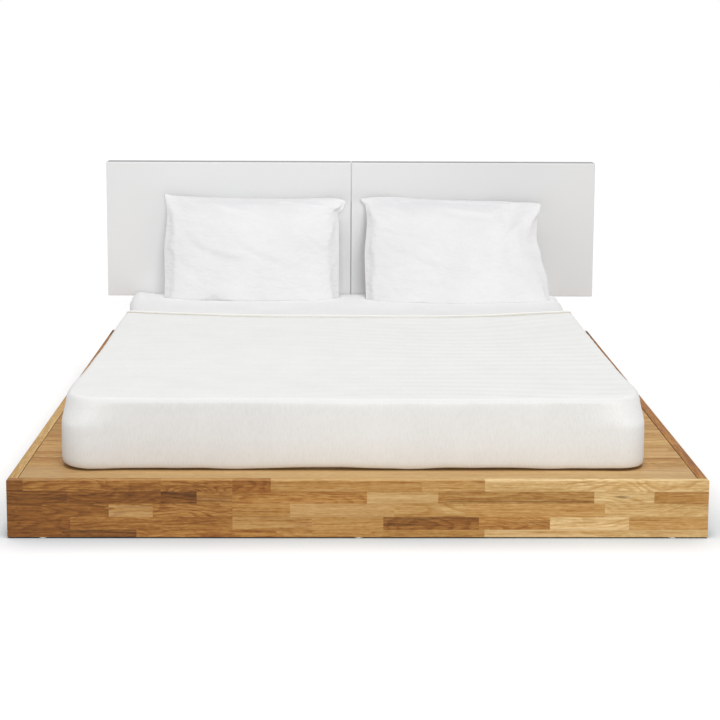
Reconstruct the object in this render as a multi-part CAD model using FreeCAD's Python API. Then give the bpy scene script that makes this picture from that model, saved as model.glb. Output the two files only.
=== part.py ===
import FreeCAD, Part
import math
import os

# Platform bed with a floating two-part headboard, dressed with mattress, blanket and pillows.
# Millimetres. Origin: centre of the whole bed on the floor. Foot end towards -Y, headboard towards +Y.

vec = FreeCAD.Vector
along_x = vec(1, 0, 0)
along_y = vec(0, 1, 0)
along_z = vec(0, 0, 1)

# Platform
platform_width = 1830.0
platform_length = 2230.0
deck_top = 155.0
board_thick = 25.0
edge_ease = 1.5
panel_count = 4
panel_ease = 0.6
panel_gap = 0.6
side_groove = 2.0
end_groove = 0.8
glide_height = 3.0
glide_radius = 11.0
glide_end_shares = (-0.9, 0.0, 0.9)
glide_side_shares = (-0.5, 0.0, 0.5)

# Framing under the deck
block_side = 45.0
block_lift = 20.0
cleat_side = 30.0
cleat_gap = 0.5
beam_width = 45.0
beam_height = 72.0
notch_slack = 0.4
batten_width = 70.0
batten_height = 20.0
batten_gap = 0.5
hanger_thick = 2.0
hanger_reach = 40.0
hanger_flange = 18.0
hanger_slack = 0.3

# Centre legs with levelling feet
leg_side = 70.0
leg_place_shares = (-0.18, 0.18)
pad_radius = 16.0
pad_height = 7.0
pad_spigot_depth = 3.0
pad_spigot_radius = 5.0
stem_flange_height = 4.0
stem_flange_flats = 17.0
stem_radius = 4.0
stem_length = 28.0
foot_gap = 0.4
stem_slack = 0.08
stem_room = 0.4
leg_insert_radius = 6.0
leg_insert_length = 20.0

# Wood screws
screw_head_radius = 4.2
screw_head_height = 2.6
screw_shank_radius = 2.2
screw_slack = 0.1
screw_bite = 16.0
leg_screw_bite = 26.0
side_cleat_screws = 6
end_cleat_screws = 3
deck_screw_shares = (0.25, 0.75)
batten_screw_shares = (-0.85, -0.45, 0.45, 0.85)
batten_row_share = 0.25
leg_screw_share = 0.3
pan_head_radius = 4.5
pan_head_height = 2.8
hanger_screw_shares = (0.22, 0.78)

# Corner bolts
bolt_radius = 3.0
bolt_head_radius = 5.0
bolt_head_height = 6.0
bolt_socket_flats = 5.0
bolt_socket_depth = 3.0
bolt_slack = 0.3
bolt_run_in = 12.0
washer_radius = 8.0
washer_thick = 1.5
rail_insert_radius = 5.0
rail_insert_length = 13.0
insert_slack = 0.1
side_bolt_shares = (0.12, 0.42)
end_bolt_shares = (0.27, 0.57)

# Headboard
headboard_width = 1840.0
headboard_bottom = 300.0
headboard_height = 508.0
headboard_thick = 75.0
headboard_wall = 18.0
headboard_ease = 3.0
headboard_seam = 1.5
back_thick = 6.0
back_gap = 0.3
rib_height = 70.0
rib_shares = (0.18, 0.6)
upright_width = 60.0
upright_centre_width = 150.0
upright_thick = 8.0
upright_place = 480.0
upright_lift = 20.0
upright_ease = 1.0
upright_margin = 45.0
upright_bolt_radius = 4.0
upright_head_radius = 8.0
upright_head_height = 4.4
upright_socket_flats = 5.0
upright_socket_depth = 2.6
upright_run_in = 18.0
upright_insert_radius = 6.0
upright_insert_length = 20.0
rail_bolt_shares = (0.3, 0.72)
seam_bolt_share = 0.3

# Bedding
mattress_width = 1524.0
mattress_length = 2032.0
mattress_height = 170.0
mattress_shift = -10.0
mattress_head_gap = 10.0
mattress_corner = 60.0
mattress_edge = 26.0
sheet_thick = 1.5
blanket_thick = 10.0
blanket_turn = 12.0
blanket_length = 1382.0
soft_gap = 0.5

# Pillows: a share of half the width, then what is left there of the height and of the thickness
pillow_width = 655.0
pillow_height = 455.0
pillow_thick = 150.0
pillow_gap = 95.0
pillow_shift = 12.0
pillow_left_lean_degrees = 31.0
pillow_right_lean_degrees = 34.0
pillow_seam = 9.0
pillow_base_drop = 14.0
pillowcase_thick = 1.6
pillow_section_shares = (
    (-1.0, 0.93, 0.10),
    (-0.93, 0.94, 0.42),
    (-0.72, 0.96, 0.79),
    (-0.35, 0.98, 0.96),
    (0.0, 0.98, 1.0),
    (0.35, 0.98, 0.96),
    (0.72, 0.96, 0.79),
    (0.93, 0.94, 0.42),
    (1.0, 0.93, 0.10),
)

# Places that several pieces share
overall_length = platform_length + upright_thick
foot_face = -overall_length / 2
head_face = foot_face + platform_length
wall_face = head_face + upright_thick
foot_inner = foot_face + board_thick
head_inner = head_face - board_thick
half_width = platform_width / 2
inner_half = half_width - board_thick
deck_under = deck_top - board_thick
rail_height = deck_top - glide_height
deck_start = foot_inner + end_groove
deck_end = head_inner - end_groove
panel_pitch = (deck_end - deck_start + panel_gap) / panel_count
platform_middle = (foot_face + head_face) / 2
beam_bottom = deck_under - beam_height
hanger_half = beam_width / 2 + hanger_slack + hanger_thick + hanger_flange
leg_bottom = pad_height + stem_flange_height + foot_gap
headboard_front = head_face - headboard_thick
mattress_bottom = deck_top + soft_gap
sheet_top = mattress_bottom + mattress_height + sheet_thick


def span(x0, x1, y0, y1, z0, z1):
    return Part.makeBox(x1 - x0, y1 - y0, z1 - z0, vec(x0, y0, z0))


def eased(shape, radius):
    return shape.makeFillet(radius, shape.Edges)


def hex_prism(point, direction, flats, height):
    sides = 6
    reach = flats / 2 / math.cos(math.pi / sides)
    turns = [2 * math.pi * k / sides for k in range(sides + 1)]
    outline = Part.makePolygon([vec(reach * math.cos(a), reach * math.sin(a), 0) for a in turns])
    prism = Part.Face(outline).extrude(along_z * height)
    prism.Placement = FreeCAD.Placement(point, FreeCAD.Rotation(along_z, direction))
    return prism


def countersunk(point, direction, head_radius, head_height, shank_radius, length, slack=0):
    head = Part.makeCone(head_radius + slack, shank_radius + slack, head_height, point, direction)
    shank = Part.makeCylinder(shank_radius + slack, length + slack, point, direction)
    return head.fuse(shank).removeSplitter()


def wood_screw(point, direction, length, slack=0):
    return countersunk(
        point, direction, screw_head_radius, screw_head_height, screw_shank_radius, length, slack
    )


def tube(point, direction, outer, bore, length):
    wall = Part.makeCylinder(outer, length, point, direction)
    return wall.cut(Part.makeCylinder(bore, length, point, direction))


def evenly(low, high, count):
    return [low + (high - low) * (2 * k + 1) / (2 * count) for k in range(count)]


hole_tools = []
nodes = {}


def drilled(piece):
    # cuts every fastener's hole that meets the piece
    near = [tool for tool in hole_tools if tool.BoundBox.intersect(piece.BoundBox)]
    return piece.cut(near) if near else piece


def screw_group(name, places):
    # places: point on the surface, direction into the wood, length
    nodes[name] = [wood_screw(point, way, length) for point, way, length in places]
    hole_tools.extend(wood_screw(point, way, length, screw_slack) for point, way, length in places)


# Screws through the cleats into the rails, and up into the deck
def cleat_screws():
    places = []
    height = deck_under - cleat_side / 2
    length = cleat_side + screw_bite
    low = foot_inner + block_side
    high = head_inner - block_side
    for side in (-1, 1):
        for y in evenly(low, high, side_cleat_screws):
            places.append((vec(side * (inner_half - cleat_side), y, height), along_x * side, length))
        for x in evenly(hanger_half, inner_half - block_side, end_cleat_screws):
            places.append((vec(side * x, foot_inner + cleat_side, height), along_y * -1, length))
            places.append((vec(side * x, head_inner - cleat_side, height), along_y, length))
    screw_group("cleat_screws", places)


def deck_screws():
    places = []
    bottom = deck_under - cleat_side
    for side in (-1, 1):
        for k in range(panel_count):
            for share in deck_screw_shares:
                y = deck_start + (k + share) * panel_pitch
                point = vec(side * (inner_half - cleat_side / 2), y, bottom)
                places.append((point, along_z, cleat_side + screw_bite))
    screw_group("deck_screws", places)


def seam_places():
    return [deck_start + k * panel_pitch - panel_gap / 2 for k in range(1, panel_count)]


def batten_screws():
    places = []
    reach = inner_half - cleat_side
    for seam in seam_places():
        for share in batten_screw_shares:
            for row in (-1, 1):
                y = seam + row * batten_row_share * batten_width
                point = vec(share * reach, y, deck_under - batten_height)
                places.append((point, along_z, batten_height + screw_bite))
    screw_group("batten_screws", places)


def leg_places():
    return [platform_middle + share * platform_length for share in leg_place_shares]


def leg_screws():
    places = []
    length = beam_bottom - leg_bottom + leg_screw_bite
    for y in leg_places():
        for side in (-1, 1):
            places.append((vec(0, y + side * leg_screw_share * leg_side, leg_bottom), along_z, length))
    screw_group("leg_screws", places)


def hanger_screws():
    screws = []
    for face, way in ((foot_inner, -1), (head_inner, 1)):
        plate_face = face - way * hanger_thick
        for side in (-1, 1):
            for share in hanger_screw_shares:
                z = beam_bottom + share * beam_height
                point = vec(side * (hanger_half - hanger_flange / 2), plate_face, z)
                direction = along_y * way
                shank = Part.makeCylinder(
                    screw_shank_radius, hanger_thick + screw_bite, point, direction
                )
                head = Part.makeCylinder(pan_head_radius, pan_head_height, point, direction * -1)
                screws.append(head.fuse(shank))
                hole_tools.append(
                    Part.makeCylinder(
                        screw_shank_radius + screw_slack,
                        hanger_thick + screw_bite + screw_slack,
                        point,
                        direction,
                    )
                )
    nodes["hanger_screws"] = screws


def corner_joints():
    bolts, washers, inserts = [], [], []
    block_height = deck_under - block_lift

    def joint(face_point, way):
        # face_point lies on the rail's inner face, way points into the rail
        head_side = face_point - way * block_side
        washers.append(
            tube(head_side - way * washer_thick, way, washer_radius, bolt_radius + bolt_slack, washer_thick)
        )
        seat = head_side - way * washer_thick
        shank = Part.makeCylinder(bolt_radius, washer_thick + block_side + bolt_run_in, seat, way)
        head = Part.makeCylinder(bolt_head_radius, bolt_head_height, seat, way * -1)
        socket = hex_prism(
            seat - way * bolt_head_height, way, bolt_socket_flats, bolt_socket_depth
        )
        bolts.append(head.fuse(shank).cut(socket))
        inserts.append(
            tube(face_point, way, rail_insert_radius, bolt_radius + insert_slack, rail_insert_length)
        )
        hole_tools.append(
            Part.makeCylinder(bolt_radius + bolt_slack, block_side, head_side, way)
        )
        hole_tools.append(
            Part.makeCylinder(rail_insert_radius, rail_insert_length, face_point, way)
        )

    for side in (-1, 1):
        for face, way in ((foot_inner, -1), (head_inner, 1)):
            block_x = side * (inner_half - block_side / 2)
            block_y = face - way * block_side / 2
            for share in side_bolt_shares:
                z = block_lift + share * block_height
                joint(vec(side * inner_half, block_y, z), along_x * side)
            for share in end_bolt_shares:
                z = block_lift + share * block_height
                joint(vec(block_x, face, z), along_y * way)
    nodes["corner_bolts"] = bolts
    nodes["corner_washers"] = washers
    nodes["rail_inserts"] = inserts


# Headboard bolts: each upright is bolted to the head rail and to the ribs inside the headboard
def rib_heights():
    return [headboard_bottom + share * headboard_height for share in rib_shares]


def upright_columns():
    # middle of each upright, its width, and its bolts' distances from that middle
    seam_bolt = seam_bolt_share * upright_centre_width
    return {
        "left": (-upright_place, upright_width, (0,)),
        "centre": (0, upright_centre_width, (-seam_bolt, seam_bolt)),
        "right": (upright_place, upright_width, (0,)),
    }


def upright_joint(x, z, seat, bolts, inserts):
    # seat is the face that the insert is flush with
    point = vec(x, wall_face, z)
    way = along_y * -1
    length = wall_face - seat + upright_run_in
    rod = countersunk(
        point, way, upright_head_radius, upright_head_height, upright_bolt_radius, length
    )
    bolts.append(rod.cut(hex_prism(point, way, upright_socket_flats, upright_socket_depth)))
    hole_tools.append(
        countersunk(
            point,
            way,
            upright_head_radius,
            upright_head_height,
            upright_bolt_radius,
            wall_face - seat,
            screw_slack,
        )
    )
    insert_point = vec(x, seat, z)
    inserts.append(
        tube(
            insert_point,
            way,
            upright_insert_radius,
            upright_bolt_radius + insert_slack,
            upright_insert_length,
        )
    )
    hole_tools.append(
        Part.makeCylinder(upright_insert_radius, upright_insert_length, insert_point, way)
    )


def upright_joints():
    short_bolts, long_bolts, inserts = [], [], []
    for middle, width, offsets in upright_columns().values():
        for offset in offsets:
            for z in rib_heights():
                upright_joint(middle + offset, z, head_face - back_thick, long_bolts, inserts)
            for share in rail_bolt_shares:
                z = glide_height + share * rail_height
                upright_joint(middle + offset, z, head_face, short_bolts, inserts)
    nodes["rail_bolts"] = short_bolts
    nodes["headboard_bolts"] = long_bolts
    nodes["upright_inserts"] = inserts


# Rails, deck and framing
def rail(x0, x1, y0, y1):
    return drilled(eased(span(x0, x1, y0, y1, glide_height, deck_top), edge_ease))


def rails():
    nodes["foot_rail"] = rail(-half_width, half_width, foot_face, foot_inner)
    nodes["head_rail"] = rail(-half_width, half_width, head_inner, head_face)
    nodes["side_rail_left"] = rail(-half_width, -inner_half, foot_inner, head_inner)
    nodes["side_rail_right"] = rail(inner_half, half_width, foot_inner, head_inner)


def rail_glides():
    glides = []
    for y in (foot_face + board_thick / 2, head_face - board_thick / 2):
        for share in glide_end_shares:
            glides.append(Part.makeCylinder(glide_radius, glide_height, vec(share * half_width, y, 0)))
    for side in (-1, 1):
        for share in glide_side_shares:
            y = platform_middle + share * platform_length / 2
            point = vec(side * (half_width - board_thick / 2), y, 0)
            glides.append(Part.makeCylinder(glide_radius, glide_height, point))
    nodes["rail_glides"] = glides


def deck_panels():
    half = inner_half - side_groove
    for k in range(panel_count):
        y = deck_start + k * panel_pitch
        plain = span(-half, half, y, y + panel_pitch - panel_gap, deck_under, deck_top)
        nodes[f"deck_panel_{k + 1}"] = drilled(eased(plain, panel_ease))


def corner_blocks():
    for side, side_name in ((-1, "left"), (1, "right")):
        x = sorted((side * inner_half, side * (inner_half - block_side)))
        for end_name, y0 in (("foot", foot_inner), ("head", head_inner - block_side)):
            block = span(x[0], x[1], y0, y0 + block_side, block_lift, deck_under)
            nodes[f"corner_block_{end_name}_{side_name}"] = drilled(block)


def cleats():
    z0 = deck_under - cleat_side
    near = hanger_half + cleat_gap
    far = inner_half - block_side
    for side, side_name in ((-1, "left"), (1, "right")):
        x = sorted((side * inner_half, side * (inner_half - cleat_side)))
        long_cleat = span(
            x[0], x[1], foot_inner + block_side, head_inner - block_side, z0, deck_under
        )
        nodes[f"side_cleat_{side_name}"] = drilled(long_cleat)
        x = sorted((side * near, side * far))
        for end_name, y0 in (("foot", foot_inner), ("head", head_inner - cleat_side)):
            short_cleat = span(x[0], x[1], y0, y0 + cleat_side, z0, deck_under)
            nodes[f"{end_name}_cleat_{side_name}"] = drilled(short_cleat)


def batten_box(seam, slack=0):
    reach = inner_half - cleat_side - batten_gap
    half = batten_width / 2 + slack
    return span(-reach, reach, seam - half, seam + half, deck_under - batten_height, deck_under)


def seam_battens():
    for number, seam in enumerate(seam_places(), start=1):
        nodes[f"seam_batten_{number}"] = drilled(batten_box(seam))


def centre_beam():
    half = beam_width / 2
    beam = span(
        -half, half, foot_inner + hanger_thick, head_inner - hanger_thick, beam_bottom, deck_under
    )
    beam = beam.cut([batten_box(seam, notch_slack) for seam in seam_places()])
    nodes["centre_beam"] = drilled(beam)


def hanger(face, way):
    # a folded steel saddle on the rail's inner face; way is 1 at the head rail and -1 at the foot rail
    inside = beam_width / 2 + hanger_slack
    outside = inside + hanger_thick
    plate_y = sorted((face, face - way * hanger_thick))
    reach_y = sorted((face, face - way * (hanger_thick + hanger_reach)))
    base = beam_bottom - hanger_thick
    top = beam_bottom + beam_height - batten_height
    plate = span(-hanger_half, hanger_half, plate_y[0], plate_y[1], base, deck_under)
    floor = span(-outside, outside, reach_y[0], reach_y[1], base, beam_bottom)
    left = span(-outside, -inside, reach_y[0], reach_y[1], base, top)
    right = span(inside, outside, reach_y[0], reach_y[1], base, top)
    return plate.fuse([floor, left, right]).removeSplitter()


def hangers():
    nodes["beam_hanger_foot"] = drilled(hanger(foot_inner, -1))
    nodes["beam_hanger_head"] = drilled(hanger(head_inner, 1))


# Centre legs: a wooden block, a threaded insert, and a stem in a pad that screws down to level the bed
def centre_legs():
    half = leg_side / 2
    inserts = []
    for number, y in enumerate(leg_places(), start=1):
        foot = vec(0, y, leg_bottom)
        leg = span(-half, half, y - half, y + half, leg_bottom, beam_bottom)
        insert_hole = Part.makeCylinder(leg_insert_radius, leg_insert_length, foot)
        stem_hole = Part.makeCylinder(stem_radius + stem_room, stem_length + stem_room, foot)
        nodes[f"centre_leg_{number}"] = drilled(leg.cut([insert_hole, stem_hole]))
        inserts.append(
            tube(foot, along_z, leg_insert_radius, stem_radius + stem_slack, leg_insert_length)
        )
        flange_foot = vec(0, y, pad_height)
        flange = hex_prism(flange_foot, along_z, stem_flange_flats, stem_flange_height)
        spigot = Part.makeCylinder(
            pad_spigot_radius, pad_spigot_depth, flange_foot - along_z * pad_spigot_depth
        )
        stem = Part.makeCylinder(stem_radius, stem_flange_height + stem_length, flange_foot)
        nodes[f"levelling_stem_{number}"] = flange.fuse([spigot, stem]).removeSplitter()
        pad = Part.makeCylinder(pad_radius, pad_height, vec(0, y, 0))
        pad = pad.makeFillet(edge_ease, [pad.Edges[0]])
        nodes[f"levelling_pad_{number}"] = pad.cut(spigot)
    nodes["leg_inserts"] = inserts


# Headboard: two lacquered shells, each with two ribs, a light core between them and a back panel, on
# three steel uprights
def headboard_half(side):
    outer = headboard_width / 2
    x = sorted((side * headboard_seam / 2, side * outer))
    top = headboard_bottom + headboard_height
    plain = span(x[0], x[1], headboard_front, head_face, headboard_bottom, top)
    wall = headboard_wall
    x0, x1 = x[0] + wall, x[1] - wall
    y0 = headboard_front + wall
    z0, z1 = headboard_bottom + wall, top - wall
    shell = eased(plain, headboard_ease).cut(span(x0, x1, y0, head_face, z0, z1))
    back_y = head_face - back_thick
    back = span(x0 + back_gap, x1 - back_gap, back_y, head_face, z0 + back_gap, z1 - back_gap)
    ribs = []
    cores = []
    floor = z0
    for z in rib_heights():
        rib_floor = z - rib_height / 2
        rib_top = z + rib_height / 2
        ribs.append(drilled(span(x0, x1, y0, back_y, rib_floor, rib_top)))
        cores.append(span(x0, x1, y0, back_y, floor, rib_floor))
        floor = rib_top
    cores.append(span(x0, x1, y0, back_y, floor, z1))
    return shell, drilled(back), ribs, cores


def headboard():
    nodes["headboard_ribs"] = []
    nodes["headboard_core"] = []
    for side, name in ((-1, "left"), (1, "right")):
        shell, back, ribs, cores = headboard_half(side)
        nodes[f"headboard_shell_{name}"] = shell
        nodes[f"headboard_back_{name}"] = back
        nodes["headboard_ribs"].extend(ribs)
        nodes["headboard_core"].extend(cores)


def uprights():
    top = rib_heights()[-1] + upright_margin
    for name, (middle, width, _) in upright_columns().items():
        bar = span(
            middle - width / 2, middle + width / 2, head_face, wall_face, upright_lift, top
        )
        nodes[f"headboard_upright_{name}"] = drilled(eased(bar, upright_ease))


# Bedding
def level_edges(shape, height):
    return [
        edge
        for edge in shape.Edges
        if abs(edge.BoundBox.ZMin - height) < soft_gap and abs(edge.BoundBox.ZMax - height) < soft_gap
    ]


def rounded_pad(grow, top, edge, turn):
    # the mattress's block, grown sideways; rounded corners, top edge and bottom edge
    middle = mattress_shift
    half = mattress_width / 2 + grow
    y1 = headboard_front - mattress_head_gap + grow
    y0 = headboard_front - mattress_head_gap - mattress_length - grow
    pad = span(middle - half, middle + half, y0, y1, mattress_bottom, top)
    upright_edges = [e for e in pad.Edges if e.BoundBox.ZLength > e.BoundBox.XLength + e.BoundBox.YLength]
    pad = pad.makeFillet(mattress_corner + grow, upright_edges)
    pad = pad.makeFillet(edge, level_edges(pad, top))
    return pad.makeFillet(turn, level_edges(pad, mattress_bottom))


def bedding():
    mattress_top = mattress_bottom + mattress_height
    mattress = rounded_pad(0, mattress_top, mattress_edge, mattress_edge)
    sheeted = rounded_pad(
        sheet_thick, sheet_top, mattress_edge + sheet_thick, mattress_edge + sheet_thick
    )
    nodes["mattress"] = mattress
    nodes["fitted_sheet"] = sheeted.cut(mattress)
    grow = sheet_thick + blanket_thick
    covered = rounded_pad(grow, sheet_top + blanket_thick, mattress_edge + grow, blanket_turn)
    start = headboard_front - mattress_head_gap - mattress_length - grow
    keep = span(
        -half_width, half_width, start, start + blanket_length, 0, sheet_top + headboard_height
    )
    nodes["blanket"] = covered.common(keep).cut(sheeted)


def pillow_section(x, half_height, half_thick, lean):
    # a lens of two arcs with blunt seams, in the plane of x; v runs up the pillow, w out of its front
    seam = min(pillow_seam / 2, half_thick)
    bulge = max(half_thick, seam + pillowcase_thick)
    up = vec(0, math.sin(lean), math.cos(lean))
    out = vec(0, -math.cos(lean), math.sin(lean))

    def at(v, w):
        return vec(x, 0, 0) + up * v + out * w

    front = Part.Arc(at(-half_height, seam), at(0, bulge), at(half_height, seam)).toShape()
    top = Part.makeLine(at(half_height, seam), at(half_height, -seam))
    back = Part.Arc(at(half_height, -seam), at(0, -bulge), at(-half_height, -seam)).toShape()
    bottom = Part.makeLine(at(-half_height, -seam), at(-half_height, seam))
    return Part.Wire([front, top, back, bottom])


def pillow_body(middle, lean, shrink):
    width = pillow_width / 2 - shrink
    height = pillow_height / 2 - shrink
    thick = pillow_thick / 2 - shrink
    sections = [
        pillow_section(middle + share * width, height * high, thick * deep, lean)
        for share, high, deep in pillow_section_shares
    ]
    return Part.makeLoft(sections, True, False)


def pillow(middle, lean_degrees):
    lean = math.radians(lean_degrees)
    outer = pillow_body(middle, lean, 0)
    box = outer.BoundBox
    seat = sheet_top + soft_gap
    move = vec(0, headboard_front - soft_gap - box.YMax, seat - pillow_base_drop - box.ZMin)
    outer.translate(move)
    inner = pillow_body(middle, lean, pillowcase_thick)
    inner.translate(move)
    low = box.ZMin + move.z - pillow_seam
    room = span(
        -half_width, half_width, foot_face, head_face, low, seat
    )
    room_inner = span(
        -half_width, half_width, foot_face, head_face, low, seat + pillowcase_thick
    )
    insert = inner.cut(room_inner)
    case = outer.cut(room).cut(insert)
    return insert, case


def pillows():
    spacing = (pillow_width + pillow_gap) / 2
    for name, side, lean_degrees in (
        ("left", -1, pillow_left_lean_degrees),
        ("right", 1, pillow_right_lean_degrees),
    ):
        insert, case = pillow(pillow_shift + side * spacing, lean_degrees)
        nodes[f"pillow_insert_{name}"] = insert
        nodes[f"pillowcase_{name}"] = case


def write_nodes():
    os.makedirs("parts", exist_ok=True)
    for name, shape in nodes.items():
        solids = shape if isinstance(shape, list) else [shape]
        Part.makeCompound(solids).exportStep(f"parts/{name}.step")
        print(name, len(solids), "volume", round(sum(s.Volume for s in solids) / 1000), "cm3")


cleat_screws()
deck_screws()
batten_screws()
leg_screws()
hanger_screws()
corner_joints()
upright_joints()
rails()
rail_glides()
deck_panels()
corner_blocks()
cleats()
seam_battens()
centre_beam()
hangers()
centre_legs()
headboard()
uprights()
bedding()
pillows()
write_nodes()
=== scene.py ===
import bpy
import math
import numpy as np
from mathutils import Matrix, Vector, noise


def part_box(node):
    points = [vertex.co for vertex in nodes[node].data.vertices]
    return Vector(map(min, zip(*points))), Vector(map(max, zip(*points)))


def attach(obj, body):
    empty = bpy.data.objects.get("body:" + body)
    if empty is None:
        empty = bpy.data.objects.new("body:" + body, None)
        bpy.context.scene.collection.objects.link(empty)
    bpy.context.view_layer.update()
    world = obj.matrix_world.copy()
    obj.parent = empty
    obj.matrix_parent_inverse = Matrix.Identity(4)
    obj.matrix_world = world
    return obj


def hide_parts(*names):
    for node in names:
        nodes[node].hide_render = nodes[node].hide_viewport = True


# Platform bed with a floating headboard, dressed. Metres; foot end towards -Y, headboard towards +Y.

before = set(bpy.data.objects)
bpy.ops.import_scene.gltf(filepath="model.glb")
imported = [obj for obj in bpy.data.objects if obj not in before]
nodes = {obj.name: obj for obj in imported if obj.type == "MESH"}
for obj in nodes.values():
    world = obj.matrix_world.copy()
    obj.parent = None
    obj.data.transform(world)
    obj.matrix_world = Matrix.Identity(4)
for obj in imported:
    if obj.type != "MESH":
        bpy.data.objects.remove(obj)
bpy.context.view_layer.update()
print("frame loaded:", len(nodes), "nodes")


# Camera, lamps and floor
cameraView = {
    "place": (-0.071, -5.560, 1.344),
    "pitchDown": 8.26,
    "yawRight": 0.92,
    "roll": 0.283,
    "lens": 87.8,
    "sensorWidth": 36.0,
    "shiftY": -0.12,
    "clipEnd": 200.0,
}

studio = {
    "ambient": 0.20,
    "lamps": ((5.0, 80.0, 2.33), (6.0, 13.0, 1.20)),  # degrees right of the foot end, degrees up, strength
    "lampSpread": 28.0,
    "floorColour": 0.80,
    "floorSeen": 1.02,
    "floorRoughness": 0.9,
    "contactShadow": (0.92, 0.82, 0.76),
    "contactReach": 0.17,
    "contactSamples": 16,
    "floorSize": 60.0,
}


def makeCamera(values):
    pitch, yaw, roll = (math.radians(values[k]) for k in ("pitchDown", "yawRight", "roll"))
    ahead = Vector((math.sin(yaw) * math.cos(pitch), math.cos(yaw) * math.cos(pitch), -math.sin(pitch)))
    level = Vector((math.cos(yaw), -math.sin(yaw), 0))
    upright = level.cross(ahead)
    right = level * math.cos(roll) + upright * math.sin(roll)
    top = upright * math.cos(roll) - level * math.sin(roll)
    camera = bpy.data.objects.new("camera", bpy.data.cameras.new("camera"))
    bpy.context.scene.collection.objects.link(camera)
    turn = Matrix((right, top, -ahead)).transposed().to_4x4()
    camera.matrix_world = Matrix.Translation(values["place"]) @ turn
    camera.data.sensor_width = values["sensorWidth"]
    camera.data.lens = values["lens"]
    camera.data.shift_y = values["shiftY"]
    camera.data.clip_end = values["clipEnd"]
    bpy.context.scene.camera = camera


class Wiring:
    # short words for the nodes that every material below is made of
    def __init__(self, tree):
        self.tree = tree

    def node(self, kind, inputs=None, **settings):
        made = self.tree.nodes.new(kind)
        for key, value in settings.items():
            setattr(made, key, value)
        for key, value in (inputs or {}).items():
            self.put(made.inputs[key], value)
        return made

    def put(self, socket, value):
        if isinstance(value, bpy.types.NodeSocket):
            self.tree.links.new(value, socket)
        else:
            socket.default_value = value

    def calc(self, operation, *values):
        return self.node("ShaderNodeMath", dict(enumerate(values)), operation=operation).outputs[0]

    def plus(self, first, second):
        return self.calc("ADD", first, second)

    def minus(self, first, second):
        return self.calc("SUBTRACT", first, second)

    def times(self, first, second):
        return self.calc("MULTIPLY", first, second)

    def sway(self, value, pattern, amount):
        # moves a value up where the pattern is over a half, down where it is under
        return self.plus(value, self.times(self.minus(pattern, 0.5), amount))

    def scaled(self, vector, scales):
        return self.node("ShaderNodeVectorMath", {0: vector, 1: scales}, operation="MULTIPLY").outputs[0]

    def split(self, vector):
        return self.node("ShaderNodeSeparateXYZ", {0: vector}).outputs

    def join(self, x, y, z):
        return self.node("ShaderNodeCombineXYZ", {0: x, 1: y, 2: z}).outputs[0]

    def noise(self, place, scale=1.0, detail=2.0, rough=0.5, distortion=0.0):
        given = {"Vector": place, "Scale": scale, "Detail": detail, "Roughness": rough,
                 "Distortion": distortion}
        return self.node("ShaderNodeTexNoise", given).outputs["Fac"]

    def grain(self, place, scales, detail=2.0, rough=0.5, distortion=0.0):
        # scales: along and across the grain, or one for each axis
        if len(scales) == 2:
            scales = (*scales, scales[1])
        return self.noise(self.scaled(place, scales), 1.0, detail, rough, distortion)

    def spread(self, value, low, high, newLow=0.0, newHigh=1.0, smooth=True):
        given = {"Value": value, "From Min": low, "From Max": high, "To Min": newLow, "To Max": newHigh}
        kind = "SMOOTHSTEP" if smooth else "LINEAR"
        return self.node("ShaderNodeMapRange", given, interpolation_type=kind).outputs[0]

    def blend(self, factor, first, second, mode="MIX"):
        given = {0: factor, 6: first, 7: second}
        return self.node("ShaderNodeMix", given, data_type="RGBA", blend_type=mode).outputs[2]

    def pick(self, factor, first, second):
        return self.node("ShaderNodeMix", {0: factor, 2: first, 3: second}, data_type="FLOAT").outputs[0]

    def ramp(self, value, stops, mode="LINEAR"):
        made = self.node("ShaderNodeValToRGB", {0: value})
        made.color_ramp.interpolation = mode
        points = made.color_ramp.elements
        while len(points) < len(stops):
            points.new(1.0)
        for point, (position, colour) in zip(points, stops):
            point.position = position
            point.color = colour
        return made.outputs

    def random(self, first, second):
        given = {"Vector": self.join(first, second, 0.0)}
        return self.node("ShaderNodeTexWhiteNoise", given, noise_dimensions="2D").outputs


def srgb(red, green, blue):
    parts = [c / 255 for c in (red, green, blue)]
    return tuple(p / 12.92 if p <= 0.04045 else ((p + 0.055) / 1.055) ** 2.4 for p in parts) + (1.0,)


def grey(level):
    # a tint that multiplies a colour
    return (level, level, level, 1.0)


def newMaterial(name):
    material = bpy.data.materials.new(name)
    material.use_nodes = True
    return material, Wiring(material.node_tree), material.node_tree.nodes["Principled BSDF"]


def setInputs(w, node, values):
    for label, value in values.items():
        w.put(node.inputs[label], value)


def addBump(w, shader, height, strength, distance):
    bump = w.node("ShaderNodeBump", {"Height": height, "Strength": strength, "Distance": distance})
    w.put(shader.inputs["Normal"], bump.outputs[0])


def objectPlace(w):
    return w.node("ShaderNodeTexCoord").outputs["Object"]


def facing(w, axis):
    # how far the surface faces along one axis
    return w.split(w.node("ShaderNodeTexCoord").outputs["Normal"])[axis]


def seenRay(w):
    # 1 for what the camera, a mirror or glass sees, 0 for the light that falls on the bed
    path = w.node("ShaderNodeLightPath").outputs
    seen = w.calc("MAXIMUM", path["Is Camera Ray"], path["Is Glossy Ray"])
    return w.calc("MAXIMUM", seen, path["Is Transmission Ray"])


def makeLamps(values):
    for number, (turn, rise, strength) in enumerate(values["lamps"]):
        lamp = bpy.data.lights.new(f"softLamp{number}", "SUN")
        lamp.energy = strength
        lamp.angle = math.radians(values["lampSpread"])
        lampObject = bpy.data.objects.new(f"softLamp{number}", lamp)
        bpy.context.scene.collection.objects.link(lampObject)
        turn, rise = math.radians(turn), math.radians(rise)
        source = Vector((math.sin(turn) * math.cos(rise), -math.cos(turn) * math.cos(rise), math.sin(rise)))
        lampObject.rotation_euler = source.to_track_quat("Z", "Y").to_euler()


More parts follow.
